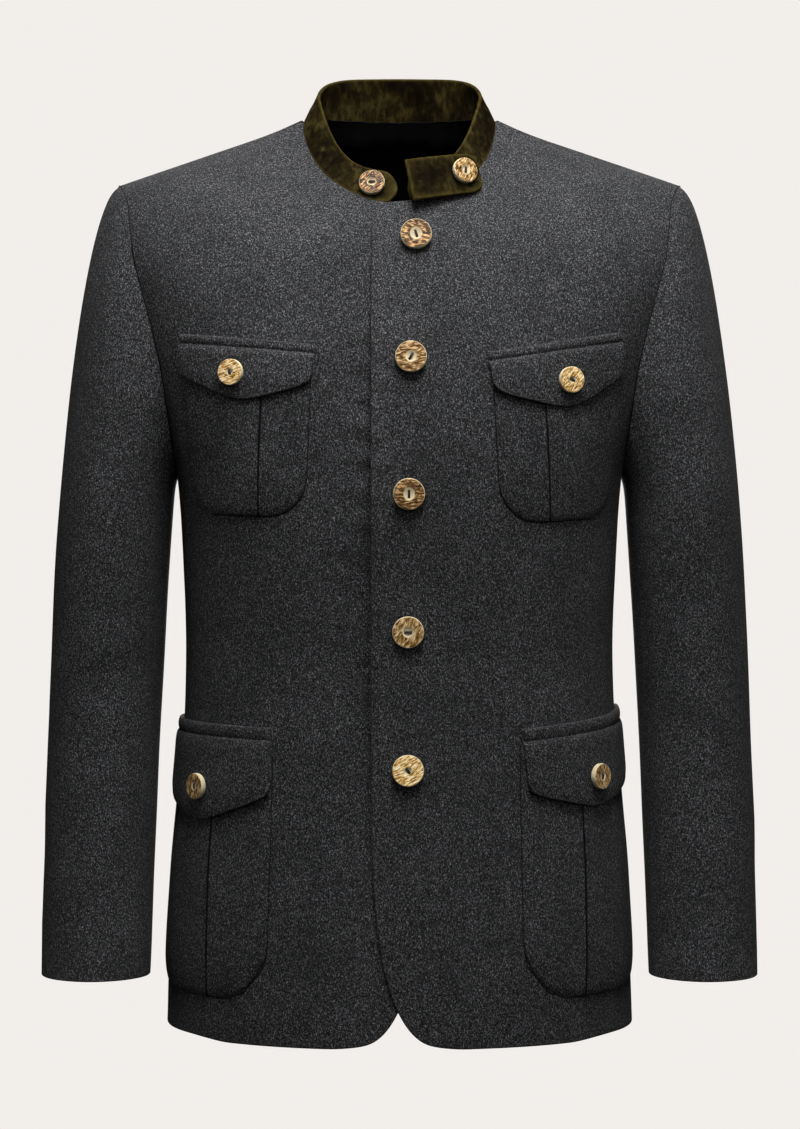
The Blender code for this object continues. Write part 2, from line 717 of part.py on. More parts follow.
def build_tab(left_front):
    """A flat strip laid against the left collar end and the top of the left front."""
    turns = np.radians(np.arange(COLLAR_END, TAB_LIES_TO_TURN))
    turn, share = np.meshgrid(turns, np.linspace(0, 1, TAB_LIES_ROWS))
    behind = np.concatenate([collar_point(turn, share).reshape(-1, 3), left_front])
    low_x, high_x = TAB_CORNERS["high_in"][0], TAB_CORNERS["low_out"][0]
    low_z, high_z = TAB_CORNERS["low_in"][1], TAB_CORNERS["high_out"][1]
    near = ((behind[:, 0] > low_x) & (behind[:, 0] < high_x)
            & (behind[:, 2] > low_z) & (behind[:, 2] < high_z) & (behind[:, 1] < 0))
    behind = behind[near]
    shift = (tab_form(behind[:, 0], behind[:, 2]) - behind[:, 1]).max() + SEAM_GAP
    along, up = np.meshgrid(np.linspace(0, 1, TAB_COLUMNS), np.linspace(0, 1, TAB_ROWS))
    place = tab_place(along, up)
    inner = stack(place[..., 0], tab_form(place[..., 0], place[..., 1]) - shift, place[..., 1])
    normal = grid_normals(inner)
    outer = inner + normal * VELVET
    points, faces = join_grids(outer)
    add_wall("collar_tab", points, inner.reshape(-1, 3), faces, OLIVE_VELVET)
    row, column = TAB_BUTTON
    add_button("tab_button", outer[row, column], normal[row, column], SMALL_BUTTON)


# Pockets, flaps and buttons


def on_body(arc, height, out):
    """A point an arc's length round the left of the body from the front centre, moved out from it."""
    arc, height, out = np.broadcast_arrays(arc, height, out)
    angles = np.empty(arc.shape)
    fine = np.linspace(0, math.pi, RING_STEPS)
    for place in np.ndindex(arc.shape):
        ring = body_ring(fine, height[place])
        length = np.concatenate([[0], np.cumsum(np.linalg.norm(np.diff(ring, axis=0), axis=1))])
        angles[place] = np.interp(arc[place], length, fine)
    points = body_ring(angles, height)
    return points + body_normal(points) * out[..., None]


def patch_point(patch, across, down, out):
    """A place on a pocket or flap: across from its middle outwards, down from its top, out from the body."""
    lean = math.radians(patch.tilt)
    arc = patch.arc + across * math.cos(lean) + down * math.sin(lean)
    height = patch.top + across * math.sin(lean) - down * math.cos(lean)
    points = on_body(arc, height, out)
    points[..., 0] *= patch.side
    return points


def corner_loss(across, half, radius):
    """How much shorter a patch is in its round lower corners."""
    past = np.clip((np.abs(across) - (half - radius)) / radius, 0, 1)
    return radius * (1 - np.sqrt(1 - past ** 2))


def patch_name(patch, piece):
    side = "left" if patch.side > 0 else "right"
    return f"{patch.name}_{piece}_{side}"


def add_patch(name, outer, inner):
    points, faces = join_grids(outer)
    add_wall(name, points, inner.reshape(-1, 3), faces, GREY_WOOL)


def build_pocket(pocket, under_flap):
    """A patch pocket with a box pleat raised down its middle, which bulges a little below its flap."""
    half = pocket.width / 2
    fold = PLEAT_FOLD / 2
    side = list(np.linspace(half - POCKET_EDGE, pocket.pleat + fold, POCKET_SIDE_COLUMNS))
    right_columns = [half] + side + [pocket.pleat - fold]
    across = np.array([-x for x in right_columns] + [0.0] + right_columns[::-1])
    across, row = np.meshgrid(across, POCKET_ROWS)
    length = pocket.height - POCKET_STARTS - corner_loss(across, half, pocket.corner)
    down = POCKET_STARTS + row * length
    to_edge = np.minimum(half - np.abs(across), (1 - row) * length)
    below_flap = smooth_step((down - under_flap) / BULGE_REACH)
    bulge = POCKET_BULGE * smooth_step(to_edge / BULGE_REACH) * below_flap
    pleat = PLEAT_STEP * (np.abs(across) < pocket.pleat)
    soft_edge = SOFT_EDGE * (1 - smooth_step(to_edge / POCKET_EDGE))
    out = PATCH_GAP + bulge
    inner = patch_point(pocket, across, down, out)
    outer = patch_point(pocket, across, down, out + POCKET_WOOL + pleat - soft_edge)
    add_patch(patch_name(pocket, "pocket"), outer, inner)


def build_flap(flap):
    """A pointed flap with a stitched fold along its top, which lies over the pocket's upper edge."""
    half = flap.width / 2
    columns = np.array(FLAP_COLUMNS)
    inner_side = flap.tip_across - columns[:0:-1] * (half + flap.tip_across)
    outer_side = flap.tip_across + columns * (half - flap.tip_across)
    across = np.concatenate([inner_side, outer_side])
    share = np.concatenate([columns[:0:-1], columns])
    blunt = np.sqrt(share ** 2 + TIP_ROUND ** 2) - TIP_ROUND
    point = 1 - blunt / (math.sqrt(1 + TIP_ROUND ** 2) - TIP_ROUND)
    length = flap.side_length + (flap.tip_length - flap.side_length) * point
    length = length - corner_loss(across, half, FLAP_CORNER)
    start = flap.fold + FOLD_STEP
    fold_rows = [0, FOLD_EDGE, flap.fold / 2, flap.fold - FOLD_EDGE, flap.fold, start]
    down = np.array([np.full(across.shape, row) for row in fold_rows]
                    + [start + part * (length - start) for part in FLAP_ROWS])
    over = FLAP_OVER_POCKET * smooth_step((down - flap.fold) / FOLD_STEP)
    curl = FLAP_CURL * smooth_step((down - flap.fold) / (length - flap.fold))
    fold = FOLD_RAISE * np.sin(math.pi * np.clip(down / flap.fold, 0, 1)) ** FOLD_SQUARENESS
    soft_edge = SOFT_EDGE * (1 - smooth_step((half - np.abs(across)) / POCKET_EDGE))
    out = PATCH_GAP + over + curl
    inner = patch_point(flap, across, down, out)
    outer = patch_point(flap, across, down, out + FLAP_WOOL + fold - soft_edge)
    add_patch(patch_name(flap, "flap"), outer, inner)

    rise = float(smooth_step((flap.button_down - flap.fold) / (flap.tip_length - flap.fold)))
    seat = PATCH_GAP + FLAP_OVER_POCKET + FLAP_WOOL + FLAP_CURL * rise
    place = patch_point(flap, np.array([flap.button_across]), np.array([flap.button_down]), seat)[0]
    normal = body_normal(place[None])[0]
    add_button(patch_name(flap, "button"), place, normal, SMALL_BUTTON)


def add_button(name, seat, normal, radius):
    """A turned horn disc with a soft edge and a dished middle, tipped forward on its thread over a seat."""
    tipped = normal * (1, 1, 1 - BUTTON_TIP)
    tipped /= np.linalg.norm(tipped)
    lift = BUTTON_GAP + radius * BUTTON_REST * np.linalg.norm(np.cross(normal, tipped))
    shape = bmesh.new()
    corners = [shape.verts.new((radius * out, 0, BUTTON_HEIGHT * up)) for out, up in BUTTON_PROFILE]
    outline = [shape.edges.new(pair) for pair in zip(corners, corners[1:])]
    bmesh.ops.spin(shape, geom=corners + outline, axis=(0, 0, 1), cent=(0, 0, 0), angle=2 * math.pi,
                   steps=BUTTON_SEGMENTS, use_merge=True)
    bmesh.ops.remove_doubles(shape, verts=shape.verts, dist=1e-6)
    bmesh.ops.recalc_face_normals(shape, faces=shape.faces)
    mesh = bpy.data.meshes.new(name)
    shape.to_mesh(mesh)
    shape.free()
    mesh.materials.append(material(name, HORN, HORN_ROUGHNESS))
    button = bpy.data.objects.new(name, mesh)
    turn = Vector((0, 0, 1)).rotation_difference(Vector(tipped))
    button.matrix_world = Matrix.Translation(Vector(seat + normal * lift)) @ turn.to_matrix().to_4x4()
    bpy.context.collection.objects.link(button)


def build_buttons():
    for number, (x, height) in enumerate(FRONT_BUTTONS, start=1):
        point = front_at(np.array([x]), np.array([height]))
        normal = body_normal(point)
        seat = point + normal * lap_lift(point)[:, None]
        add_button(f"front_button_{number}", seat[0], normal[0], FRONT_BUTTON)
    beside = [COLLAR_BUTTON_TURN - NORMAL_TURN, COLLAR_BUTTON_TURN, COLLAR_BUTTON_TURN + NORMAL_TURN]
    turn, share = np.meshgrid(np.radians(beside), (0, COLLAR_BUTTON_SHARE, 1))
    near = collar_point(turn, share)
    add_button("collar_button", near[1, 1], grid_normals(near)[1, 1], SMALL_BUTTON)


for old in list(bpy.data.objects):
    bpy.data.objects.remove(old, do_unlink=True)
left_front_points = build_panels()
build_sleeves()
build_collar()
build_tab(left_front_points)
for patch_pocket, pocket_flap in zip(POCKETS, FLAPS):
    build_pocket(patch_pocket, pocket_flap.tip_length)
    build_flap(pocket_flap)
build_buttons()
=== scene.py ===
import math
from collections import namedtuple

import bmesh
import bpy
import numpy as np
from mathutils import Matrix, Vector, noise
from mathutils.bvhtree import BVHTree


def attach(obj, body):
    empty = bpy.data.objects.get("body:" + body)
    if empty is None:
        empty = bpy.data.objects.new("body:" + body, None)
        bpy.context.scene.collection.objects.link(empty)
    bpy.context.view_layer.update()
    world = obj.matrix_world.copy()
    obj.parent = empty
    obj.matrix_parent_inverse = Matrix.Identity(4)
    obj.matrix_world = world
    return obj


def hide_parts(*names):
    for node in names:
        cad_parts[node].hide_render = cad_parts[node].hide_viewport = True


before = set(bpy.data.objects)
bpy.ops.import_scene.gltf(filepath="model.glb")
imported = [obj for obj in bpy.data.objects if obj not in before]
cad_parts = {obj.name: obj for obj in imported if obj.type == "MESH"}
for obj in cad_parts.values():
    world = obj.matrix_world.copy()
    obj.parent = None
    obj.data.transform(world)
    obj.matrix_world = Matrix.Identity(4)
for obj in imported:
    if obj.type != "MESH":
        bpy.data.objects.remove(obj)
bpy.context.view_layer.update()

# Fronts
# Two fronts of fulled wool, the left one lapped over the right. Each is cut in one piece with its round
# lower corner, faced inside and pressed, so its edges are soft rolls and its face has only faint drag lines.

EDGE_ROLL = 0.0008
FRONT_ROLL = 0.0011
SEAM_REACH = 0.0005
SEAM_ANGLE = math.radians(43)
PAIR_ANGLE = math.radians(40)
CORNER_ANGLE = math.radians(35)
MERGE = 1e-5
SMOOTH_LEVELS = 2
BODY_MIDDLE = (0.0, 0.0)


def linear(hex_colour):
    """A colour given as sRGB hex, turned to linear."""
    channels = [int(hex_colour[place:place + 2], 16) / 255 for place in (1, 3, 5)]
    return (*(c / 12.92 if c <= 0.04045 else ((c + 0.055) / 1.055) ** 2.4 for c in channels), 1.0)


def fill_inputs(tree, node, **inputs):
    """Gives a shader node's inputs their values, or links them to sockets."""
    for name, value in inputs.items():
        socket = next(s for s in node.inputs if name in (s.identifier, s.name.replace(" ", "_")))
        if isinstance(value, bpy.types.NodeSocket):
            tree.links.new(value, socket)
        else:
            socket.default_value = value


def add_node(tree, kind, settings=None, stops=(), **inputs):
    """Adds a shader node. Inputs are values, or sockets to link; stops are a ramp's places and colours."""
    made = tree.nodes.new("ShaderNode" + kind)
    for name, value in (settings or {}).items():
        setattr(made, name, value)
    for number, (place, colour) in enumerate(stops):
        ramp = made.color_ramp.elements
        stop = ramp[number] if number < len(ramp) else ramp.new(place)
        stop.position = place
        stop.color = linear(colour)
    fill_inputs(tree, made, **inputs)
    return made


def new_material(name):
    """An empty material: its node tree, its shader and itself."""
    made = bpy.data.materials.new(name)
    made.use_nodes = True
    return made.node_tree, made.node_tree.nodes["Principled BSDF"], made


def fulled_melange_wool():
    """Woollen cloth spun from black and pale grey fibres, then fulled and brushed: no weave shows, only
    flecks a little longer than wide along the grain, a matt face and a faint nap that catches light."""
    fleck, fibre, cloud = 0.0009, 0.0005, 0.045
    tree, shader, wool = new_material("fulled_melange_wool")
    place = add_node(tree, "TexCoord").outputs["Object"]
    grain = add_node(tree, "Mapping", Vector=place, Scale=(1, 1, 0.6)).outputs["Vector"]
    flecks = add_node(tree, "TexNoise", Vector=grain, Scale=1 / fleck, Detail=2.0, Roughness=0.65)
    fibres = add_node(tree, "TexNoise", Vector=grain, Scale=1 / fibre, Detail=1.0)
    clouds = add_node(tree, "TexNoise", Vector=place, Scale=1 / cloud, Detail=3.0)
    both = add_node(tree, "Mix", {"data_type": "FLOAT"}, Factor_Float=0.4,
                    A_Float=flecks.outputs["Fac"], B_Float=fibres.outputs["Fac"])
    speckle = add_node(tree, "ValToRGB", Fac=both.outputs[0],
                       stops=((0.38, "#040404"), (0.46, "#161617"), (0.55, "#333334"), (0.65, "#7a7a7e")))
    patchy = add_node(tree, "ValToRGB", Fac=clouds.outputs["Fac"],
                      stops=((0.30, "#dcdcdc"), (0.70, "#ffffff")))
    colour = add_node(tree, "Mix", {"data_type": "RGBA", "blend_type": "MULTIPLY"}, Factor_Float=1.0,
                      A_Color=speckle.outputs["Color"], B_Color=patchy.outputs["Color"])
    bump = add_node(tree, "Bump", Strength=0.5, Distance=0.0006, Height=both.outputs[0])
    fill_inputs(tree, shader, Base_Color=colour.outputs[2], Normal=bump.outputs["Normal"], Roughness=0.95,
                Specular_IOR_Level=0.15, Sheen_Weight=0.02, Sheen_Roughness=0.5,
                Sheen_Tint=linear("#c6c7ca"))
    return wool


def black_lining_satin():
    """Smooth black lining cloth, satin woven: fine lengthwise threads and a low gloss. Its near-zero tone is
    also painted shade for the jacket's dark inside.
    """
    thread = 0.0004
    tree, shader, lining = new_material("black_lining_satin")
    place = add_node(tree, "TexCoord").outputs["Object"]
    threads = add_node(tree, "Mapping", Vector=place, Scale=(1, 1, 0.1)).outputs["Vector"]
    weave = add_node(tree, "TexNoise", Vector=threads, Scale=1 / thread, Detail=1.0)
    # Near-zero tones, darker than black cloth: partly the lining's black, partly painted shade for the dark
    # inside of the jacket.
    colour = add_node(tree, "ValToRGB", Fac=weave.outputs["Fac"], stops=((0.3, "#010101"), (0.7, "#030303")))
    fill_inputs(tree, shader, Base_Color=colour.outputs["Color"], Roughness=0.7, Specular_IOR_Level=0.05)
    return lining


wool = fulled_melange_wool()
lining = black_lining_satin()


def cad_tree(nodes):
    """A search tree of CAD walls, for rays and nearest points."""
    points, faces = [], []
    for node in nodes:
        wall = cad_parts[node].data
        first = len(points)
        points += [vert.co.copy() for vert in wall.vertices]
        faces += [[first + corner for corner in face.vertices] for face in wall.polygons]
    return BVHTree.FromPolygons(points, faces)


everything = cad_tree(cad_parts)
VIEWS = {"front": ((1, 0), (0, -1, 0)), "back": ((1, 0), (0, 1, 0)),
         "left": ((0, 1), (1, 0, 0)), "right": ((0, 1), (-1, 0, 0))}
Crease = namedtuple("Crease", "view start bend end width depth")
BODY_CREASES = (
    Crease("front", (-0.166, -0.402), (-0.130, -0.420), (-0.095, -0.424), 0.013, 0.0011),
    Crease("front", (0.166, -0.414), (0.128, -0.432), (0.088, -0.438), 0.015, 0.0010),
    Crease("front", (-0.172, -0.272), (-0.158, -0.330), (-0.160, -0.372), 0.011, 0.0012),
    Crease("front", (0.173, -0.268), (0.162, -0.320), (0.163, -0.356), 0.010, 0.0013),
    Crease("front", (-0.028, -0.470), (-0.034, -0.560), (-0.030, -0.640), 0.012, 0.0009),
    Crease("front", (0.052, -0.560), (0.058, -0.620), (0.054, -0.690), 0.014, 0.0009),
    Crease("front", (-0.060, -0.105), (-0.085, -0.130), (-0.118, -0.142), 0.016, 0.0009),
    Crease("front", (0.068, -0.110), (0.092, -0.128), (0.120, -0.146), 0.015, 0.0008),
    Crease("back", (-0.096, -0.215), (-0.080, -0.300), (-0.052, -0.395), 0.018, 0.0020),
    Crease("back", (0.104, -0.205), (0.082, -0.290), (0.060, -0.372), 0.019, 0.0018),
    Crease("back", (-0.150, -0.388), (-0.100, -0.412), (-0.050, -0.408), 0.014, 0.0016),
    Crease("back", (0.142, -0.404), (0.096, -0.426), (0.042, -0.430), 0.015, 0.0014),
    Crease("back", (-0.062, -0.470), (-0.070, -0.560), (-0.082, -0.650), 0.020, 0.0020),
    Crease("back", (0.074, -0.490), (0.078, -0.580), (0.090, -0.670), 0.019, 0.0018),
    Crease("back", (-0.050, -0.045), (0.000, -0.060), (0.055, -0.048), 0.012, 0.0010),
    Crease("left", (0.040, -0.400), (0.010, -0.425), (-0.020, -0.420), 0.013, 0.0012),
    Crease("right", (0.044, -0.412), (0.015, -0.430), (-0.015, -0.424), 0.014, 0.0011),
)
UNEVEN = 0.0005
UNEVEN_SPAN = 0.075
CREASE_STEPS = 25
CREASE_ENDS = 0.7


def crease_path(crease):
    """Points of a crease on the jacket: places given in one view, brought in on to the cloth."""
    axes, away = VIEWS[crease.view]
    share = np.linspace(0, 1, CREASE_STEPS)[:, None]
    start, bend, end = (np.array(p) for p in (crease.start, crease.bend, crease.end))
    flat = (1 - share) ** 2 * start + 2 * share * (1 - share) * bend + share ** 2 * end
    path = []
    for across, height in flat:
        outside = Vector((axes[0] * across, axes[1] * across, height)) + Vector(away)
        hit = everything.ray_cast(outside, -Vector(away))
        if hit[0] is not None:
            path.append(hit[0])
    return np.array(path)


def drape(points, middle, creases):
    """Moves cloth in along its creases, and a little in and out all over, square to an upright middle."""
    out = points[:, :2] - np.array(middle)
    out /= np.linalg.norm(out, axis=1, keepdims=True)
    move = UNEVEN * np.array([noise.noise(Vector(p) / UNEVEN_SPAN) for p in points])
    for crease in creases:
        path = crease_path(crease)
        away = np.linalg.norm(points[:, None] - path[None], axis=2)
        nearest = away.argmin(axis=1)
        along = nearest / (len(path) - 1)
        fade = np.sin(np.pi * along) ** CREASE_ENDS
        move -= crease.depth * fade * np.exp(-(away.min(axis=1) / crease.width) ** 2)
    points[:, :2] += out * move[:, None]
    return points


def cloth_regions(shape, sharp):
    """Splits a wall's faces at its sharp edges, largest region first."""
    waiting = set(shape.faces)
    regions = []
    for seed in shape.faces:
        if seed not in waiting:
            continue
        waiting.discard(seed)
        region, front = [seed], [seed]
        while front:
            for edge in front.pop().edges:
                for face in edge.link_faces:
                    if face in waiting and edge.calc_face_angle(math.pi) < sharp:
                        waiting.discard(face)
                        region.append(face)
                        front.append(face)
        regions.append(region)
    return sorted(regions, key=lambda faces: -sum(face.calc_area() for face in faces))


def facing(faces, middle):
    """How far faces look away from an upright middle line, weighed by area."""
    hub = Vector((*middle, 0))
    return sum(f.normal.dot((f.calc_center_median() - hub).to_2d().to_3d()) * f.calc_area() for f in faces)


def merged_wall(node):
    """A copy of a CAD wall with its corners merged."""
    shape = bmesh.new()
    shape.from_mesh(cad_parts[node].data)
    bmesh.ops.remove_doubles(shape, verts=shape.verts, dist=MERGE)
    return shape


def quad_wall(node):
    """A merged copy of a CAD wall with its triangles paired into quads."""
    shape = merged_wall(node)
    bmesh.ops.join_triangles(shape, faces=shape.faces, angle_face_threshold=PAIR_ANGLE,
                             angle_shape_threshold=math.pi)
    return shape


def finished_mesh(name, shape):
    """Turns a shape into a mesh and lets go of the shape."""
    mesh = bpy.data.meshes.new(name)
    shape.to_mesh(mesh)
    shape.free()
    return mesh


def cloth_wall(node, middle, roll=EDGE_ROLL, corner=CORNER_ANGLE, sharp=SEAM_ANGLE):
    """A copy of a CAD wall in quads, with its inside marked and its edges rolled and held for smoothing."""
    shape = quad_wall(node)
    regions = cloth_regions(shape, sharp)
    outside, inside = sorted(regions[:2], key=lambda faces: facing(faces, middle), reverse=True)
    for face in shape.faces:
        face.material_index = 0
        face.smooth = True
    for face in inside:
        face.material_index = 1
    sheets = set(outside) | set(inside)
    pushes = {}
    for face in set(shape.faces) - sheets:
        for vert in face.verts:
            pushes.setdefault(vert, Vector())
            pushes[vert] += face.normal
    for vert, push in pushes.items():
        vert.co += SEAM_REACH * push.normalized()
    rim = [e for e in shape.edges if len(e.link_faces) == 2 and len(sheets.intersection(e.link_faces)) == 1]
    rolled = bmesh.ops.bevel(shape, geom=rim, offset=roll, offset_type="OFFSET", affect="EDGES", segments=2,
                             profile=0.5, material=-1, clamp_overlap=False)
    hold_edge = shape.edges.layers.float.new("crease_edge")
    hold_vert = shape.verts.layers.float.new("crease_vert")
    fold = shape.verts.layers.float.new("fold")
    roll_faces = set(rolled["faces"])
    for face in roll_faces:
        face.material_index = 0
    for vert in {v for face in roll_faces for v in face.verts}:
        vert[fold] = 1.0
        border = [e for e in vert.link_edges if len(roll_faces.intersection(e.link_faces)) == 1]
        for edge in border:
            edge[hold_edge] = 1.0
        ways = [(e.other_vert(vert).co - vert.co).normalized() for e in border]
        if len(ways) > 2 or len(ways) == 2 and ways[0].angle(-ways[1], 0) > corner:
            vert[hold_vert] = 1.0
    return finished_mesh(node, shape)


def add_object(name, data, materials=()):
    """Links a mesh, lamp or camera to the scene, with materials added to those that it has."""
    for finish in materials:
        data.materials.append(finish)
    made = bpy.data.objects.new(name, data)
    bpy.context.collection.objects.link(made)
    return made


def add_cloth(node, materials, mesh, drawn, levels=SMOOTH_LEVELS):
    """Links a cloth piece that stands for its CAD node, smoothed and moved by a function of its points."""
    rough = add_object(node + "_rough", mesh, materials)
    smooth = rough.modifiers.new("smooth", "SUBSURF")
    smooth.levels = smooth.render_levels = levels
    bpy.context.view_layer.update()
    finished = bpy.data.meshes.new_from_object(rough.evaluated_get(bpy.context.evaluated_depsgraph_get()))
    bpy.data.objects.remove(rough)
    points = np.empty(len(finished.vertices) * 3)
    finished.vertices.foreach_get("co", points)
    finished.vertices.foreach_set("co", drawn(points.reshape(-1, 3)).ravel())
    finished.shade_smooth()
    finished.name = node + "_cloth"
    piece = add_object(node + "_cloth", finished)
    even = piece.modifiers.new("even_shade", "WEIGHTED_NORMAL")
    even.mode = "FACE_AREA"
    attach(piece, "root")
    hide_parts(node)
    return piece


def add_body_wool(node, roll=EDGE_ROLL, creases=BODY_CREASES):
    """Links a front or back, wool outside and lining inside."""
    mesh = cloth_wall(node, BODY_MIDDLE, roll)
    return add_cloth(node, (wool, lining), mesh,
                     lambda points: drape(points, BODY_MIDDLE, creases))


LAP_CREASES = {
    "front_left": (Crease("front", (-0.0200, -0.080), (-0.0205, -0.340), (-0.0195, -0.640), 0.011, -0.0032),),
    "front_right": (Crease("front", (-0.0250, -0.080), (-0.0255, -0.340), (-0.0245, -0.680), 0.013, 0.0062),),
}
for node, lap in LAP_CREASES.items():
    piece = add_body_wool(node, FRONT_ROLL, BODY_CREASES + lap)

# Backs
# Two back halves of the same wool, sewn together down the middle and to the fronts at sides and shoulders.
# The seams are pressed open, so they show as thin lines, the middle one darkened by a near-black tube of
# painted shade; soft folds fall from the shoulder blades.

for node in ("back_left", "back_right"):
    piece = add_body_wool(node)

# Back lining
# Black satin felled by hand to the inside of the collar, of which only the upper back shows through the
# neck. It reaches a little over the collar's seam and covers the edges of the wool there.

LINING_ROLL = 0.0003
LINING_LEVELS = 3
FELLED_HEIGHT = 0.0056
FELLED_ABOVE = 0.0090
FELLED_DROP = 0.5
FELLED_OVER = 0.0012
FELLED_EASE = 0.0030
FELLED_NEAR = 0.014
FELLED_EDGE = 0.0015
FELLED_TURN_UP = 0.006
FELLED_UNDER = 0.0048
FELLED_BLEND = 0.030
FELLED_TURNS = (-70, 70)
FELLED_STEP = 5
FELLED_SPAN = math.radians(14)
FELLED_FADE = math.radians(4)

collar_points = np.array([v.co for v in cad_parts["collar"].data.vertices])
collar_tree = cad_tree(["collar"])


def inside_collar(turn, height):
    """A point on the collar's inner face, at a turn from the centre back and a height."""
    outward = Vector((math.sin(turn), math.cos(turn), 0))
    return collar_tree.ray_cast(Vector((0, 0, height)), outward)[0]


def fell_lining(points):
    """Draws the lining's upper edge in under the collar's seam and up on to its inside, with cloth below."""
    turns = np.arctan2(points[:, 0], points[:, 1])
    collar_turns = np.arctan2(collar_points[:, 0], collar_points[:, 1])
    corners = np.array([v.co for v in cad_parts["back_lining"].data.vertices])
    top = corners[[collar_tree.find_nearest(Vector(c))[3] < FELLED_NEAR for c in corners]]
    top = top[np.argsort(np.arctan2(top[:, 0], top[:, 1]))]
    top_turns = np.arctan2(top[:, 0], top[:, 1])
    steps = np.radians(np.arange(FELLED_TURNS[0], FELLED_TURNS[1] + 1, FELLED_STEP))
    edge = np.stack([np.interp(steps, top_turns, top[:, k]) for k in range(3)], axis=1)
    knee, goal = [], []
    for turn in steps:
        seam = inside_collar(turn, FELLED_ABOVE)
        reach = seam.to_2d().length - FELLED_OVER - FELLED_EASE * turn ** 2
        base = collar_points[np.abs(collar_turns - turn) < FELLED_SPAN, 2].min()
        knee.append((reach * math.sin(turn), reach * math.cos(turn), base - FELLED_UNDER))
        goal.append((*knee[-1][:2], FELLED_HEIGHT - FELLED_DROP * seam.x ** 2))
    knee, goal = np.array(knee), np.array(goal)

    def at_turns(values):
        return np.stack([np.interp(turns, steps, values[:, k]) for k in range(3)], axis=1)

    away = np.maximum(np.linalg.norm(points - at_turns(edge), axis=1) - FELLED_EDGE, 0)
    up = np.clip(1 - away / FELLED_TURN_UP, 0, 1)[:, None]
    near = np.clip(1 - (away - FELLED_TURN_UP) / FELLED_BLEND, 0, 1)
    in_view = np.clip((steps[-1] - np.abs(turns)) / FELLED_FADE, 0, 1)
    move = up * at_turns(goal - edge) + (1 - up) * at_turns(knee - edge)
    return points + move * (near * near * (3 - 2 * near) * in_view)[:, None]


piece = add_cloth("back_lining", (lining, lining),
                  cloth_wall("back_lining", BODY_MIDDLE, LINING_ROLL), fell_lining, LINING_LEVELS)

# Patch pockets
# Wool patches with a box pleat down the middle, turned in all round and felled on by hand, which draws the
# edge down.
# A thin near-black tube, painted shadow, runs round the edge and under the pleat's near fold, where shade
# falls in the gaps.

POCKET_CUTS = {"chest_pocket": ((0.112, 0.122), 0.0128), "hip_pocket": ((0.164, 0.196), 0.0308)}
POCKET_ROLL = 0.0007
PATCH_ANGLE = math.radians(62)
PLEAT_ANGLES = (math.radians(35), PATCH_ANGLE)
POCKET_EDGE_SHADOW = 0.00032
SEAM_SINK = 0.00035
SEAM_SHOWN = 0.6
PLEAT_SHADOW = (0.00070, 0.00115)
PLEAT_UNEVEN = 0.45
PLEAT_UNEVEN_SPAN = 0.006
PLEAT_RISE = 0.0006
PRESS = 0.0010
PRESS_REACH = 0.004
PRESS_STEP = 0.002
THREAD_STEP = 0.004
THREAD_SIDES = 8


def black_thread():
    """Near-black tubes: painted shadow lines in the gaps at pocket edges, pleat folds, flap ends and seams,
    and the real thread of the collar's stitches.
    """
    tree, shader, thread = new_material("black_thread")
    fill_inputs(tree, shader, Base_Color=linear("#0a0a0b"), Roughness=0.9, Specular_IOR_Level=0.1)
    return thread


shadow_line_and_thread_finish = black_thread()


def add_tube(shape, path, radii, material):
    """Adds a closed round tube along a path to a mesh, with a radius for each point."""
    rings = []
    turns = [2 * math.pi * k / THREAD_SIDES for k in range(THREAD_SIDES)]
    aside = (path[1] - path[0]).orthogonal()
    for number, (point, radius) in enumerate(zip(path, radii)):
        ahead = (path[min(number + 1, len(path) - 1)] - path[max(number - 1, 0)]).normalized()
        aside = (aside - aside.project(ahead)).normalized()
        up = ahead.cross(aside)
        rings.append([shape.verts.new(point + radius * (aside * math.cos(turn) + up * math.sin(turn)))
                      for turn in turns])
    faces = [shape.faces.new(rings[0][::-1]), shape.faces.new(rings[-1])]
    for low, high in zip(rings, rings[1:]):
        for k in range(THREAD_SIDES):
            after = (k + 1) % THREAD_SIDES
            faces.append(shape.faces.new((low[k], low[after], high[after], high[k])))
    for face in faces:
        face.material_index = material
        face.smooth = True


def add_thread_and_shadow_lines(name, shape):
    """Links a mesh of joined near-black tubes: thread, and lines of painted shadow."""
    bmesh.ops.recalc_face_normals(shape, faces=shape.faces)
    sewing = add_object(name, finished_mesh(name, shape), (shadow_line_and_thread_finish,))
    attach(sewing, "root")


def walk(edges):
    """Orders edges that form one open or closed line into its points."""
    ends = [v for e in edges for v in e.verts]
    start = next((v for v in ends if ends.count(v) == 1), ends[0])
    left, line = set(edges), [start]
    while left:
        ways = [e for e in line[-1].link_edges if e in left]
        if not ways:
            break
        left.discard(ways[0])
        line.append(ways[0].other_vert(line[-1]))
    return [v.co.copy() for v in line]


def patch_sides(node):
    """A copy of a CAD pocket or flap in quads, with the sets of its outside and inside faces."""
    shape = quad_wall(node)
    regions = cloth_regions(shape, PATCH_ANGLE)
    outside, inside = sorted(regions[:2], key=lambda faces: sum(f.normal.y for f in faces))
    return shape, set(outside), set(inside)


def patch_edge(node):
    """The line round a patch's back."""
    shape, _, inside = patch_sides(node)
    line = walk([e for e in shape.edges if len(inside.intersection(e.link_faces)) == 1])
    shape.free()
    return line


def pleat_fold(node):
    """The foot of the pleat's fold nearest the jacket's front edge, from below up."""
    shape, outside, _ = patch_sides(node)
    folds = [e for e in shape.edges if len(outside.intersection(e.link_faces)) == 2 and not e.is_convex
             and PLEAT_ANGLES[0] < e.calc_face_angle() < PLEAT_ANGLES[1]]
    middle = sum(abs(v.co.x) for v in shape.verts) / len(shape.verts)
    line = walk([e for e in folds if abs((e.verts[0].co.x + e.verts[1].co.x) / 2) < middle])
    shape.free()
    return sorted(line, key=lambda p: p.z)


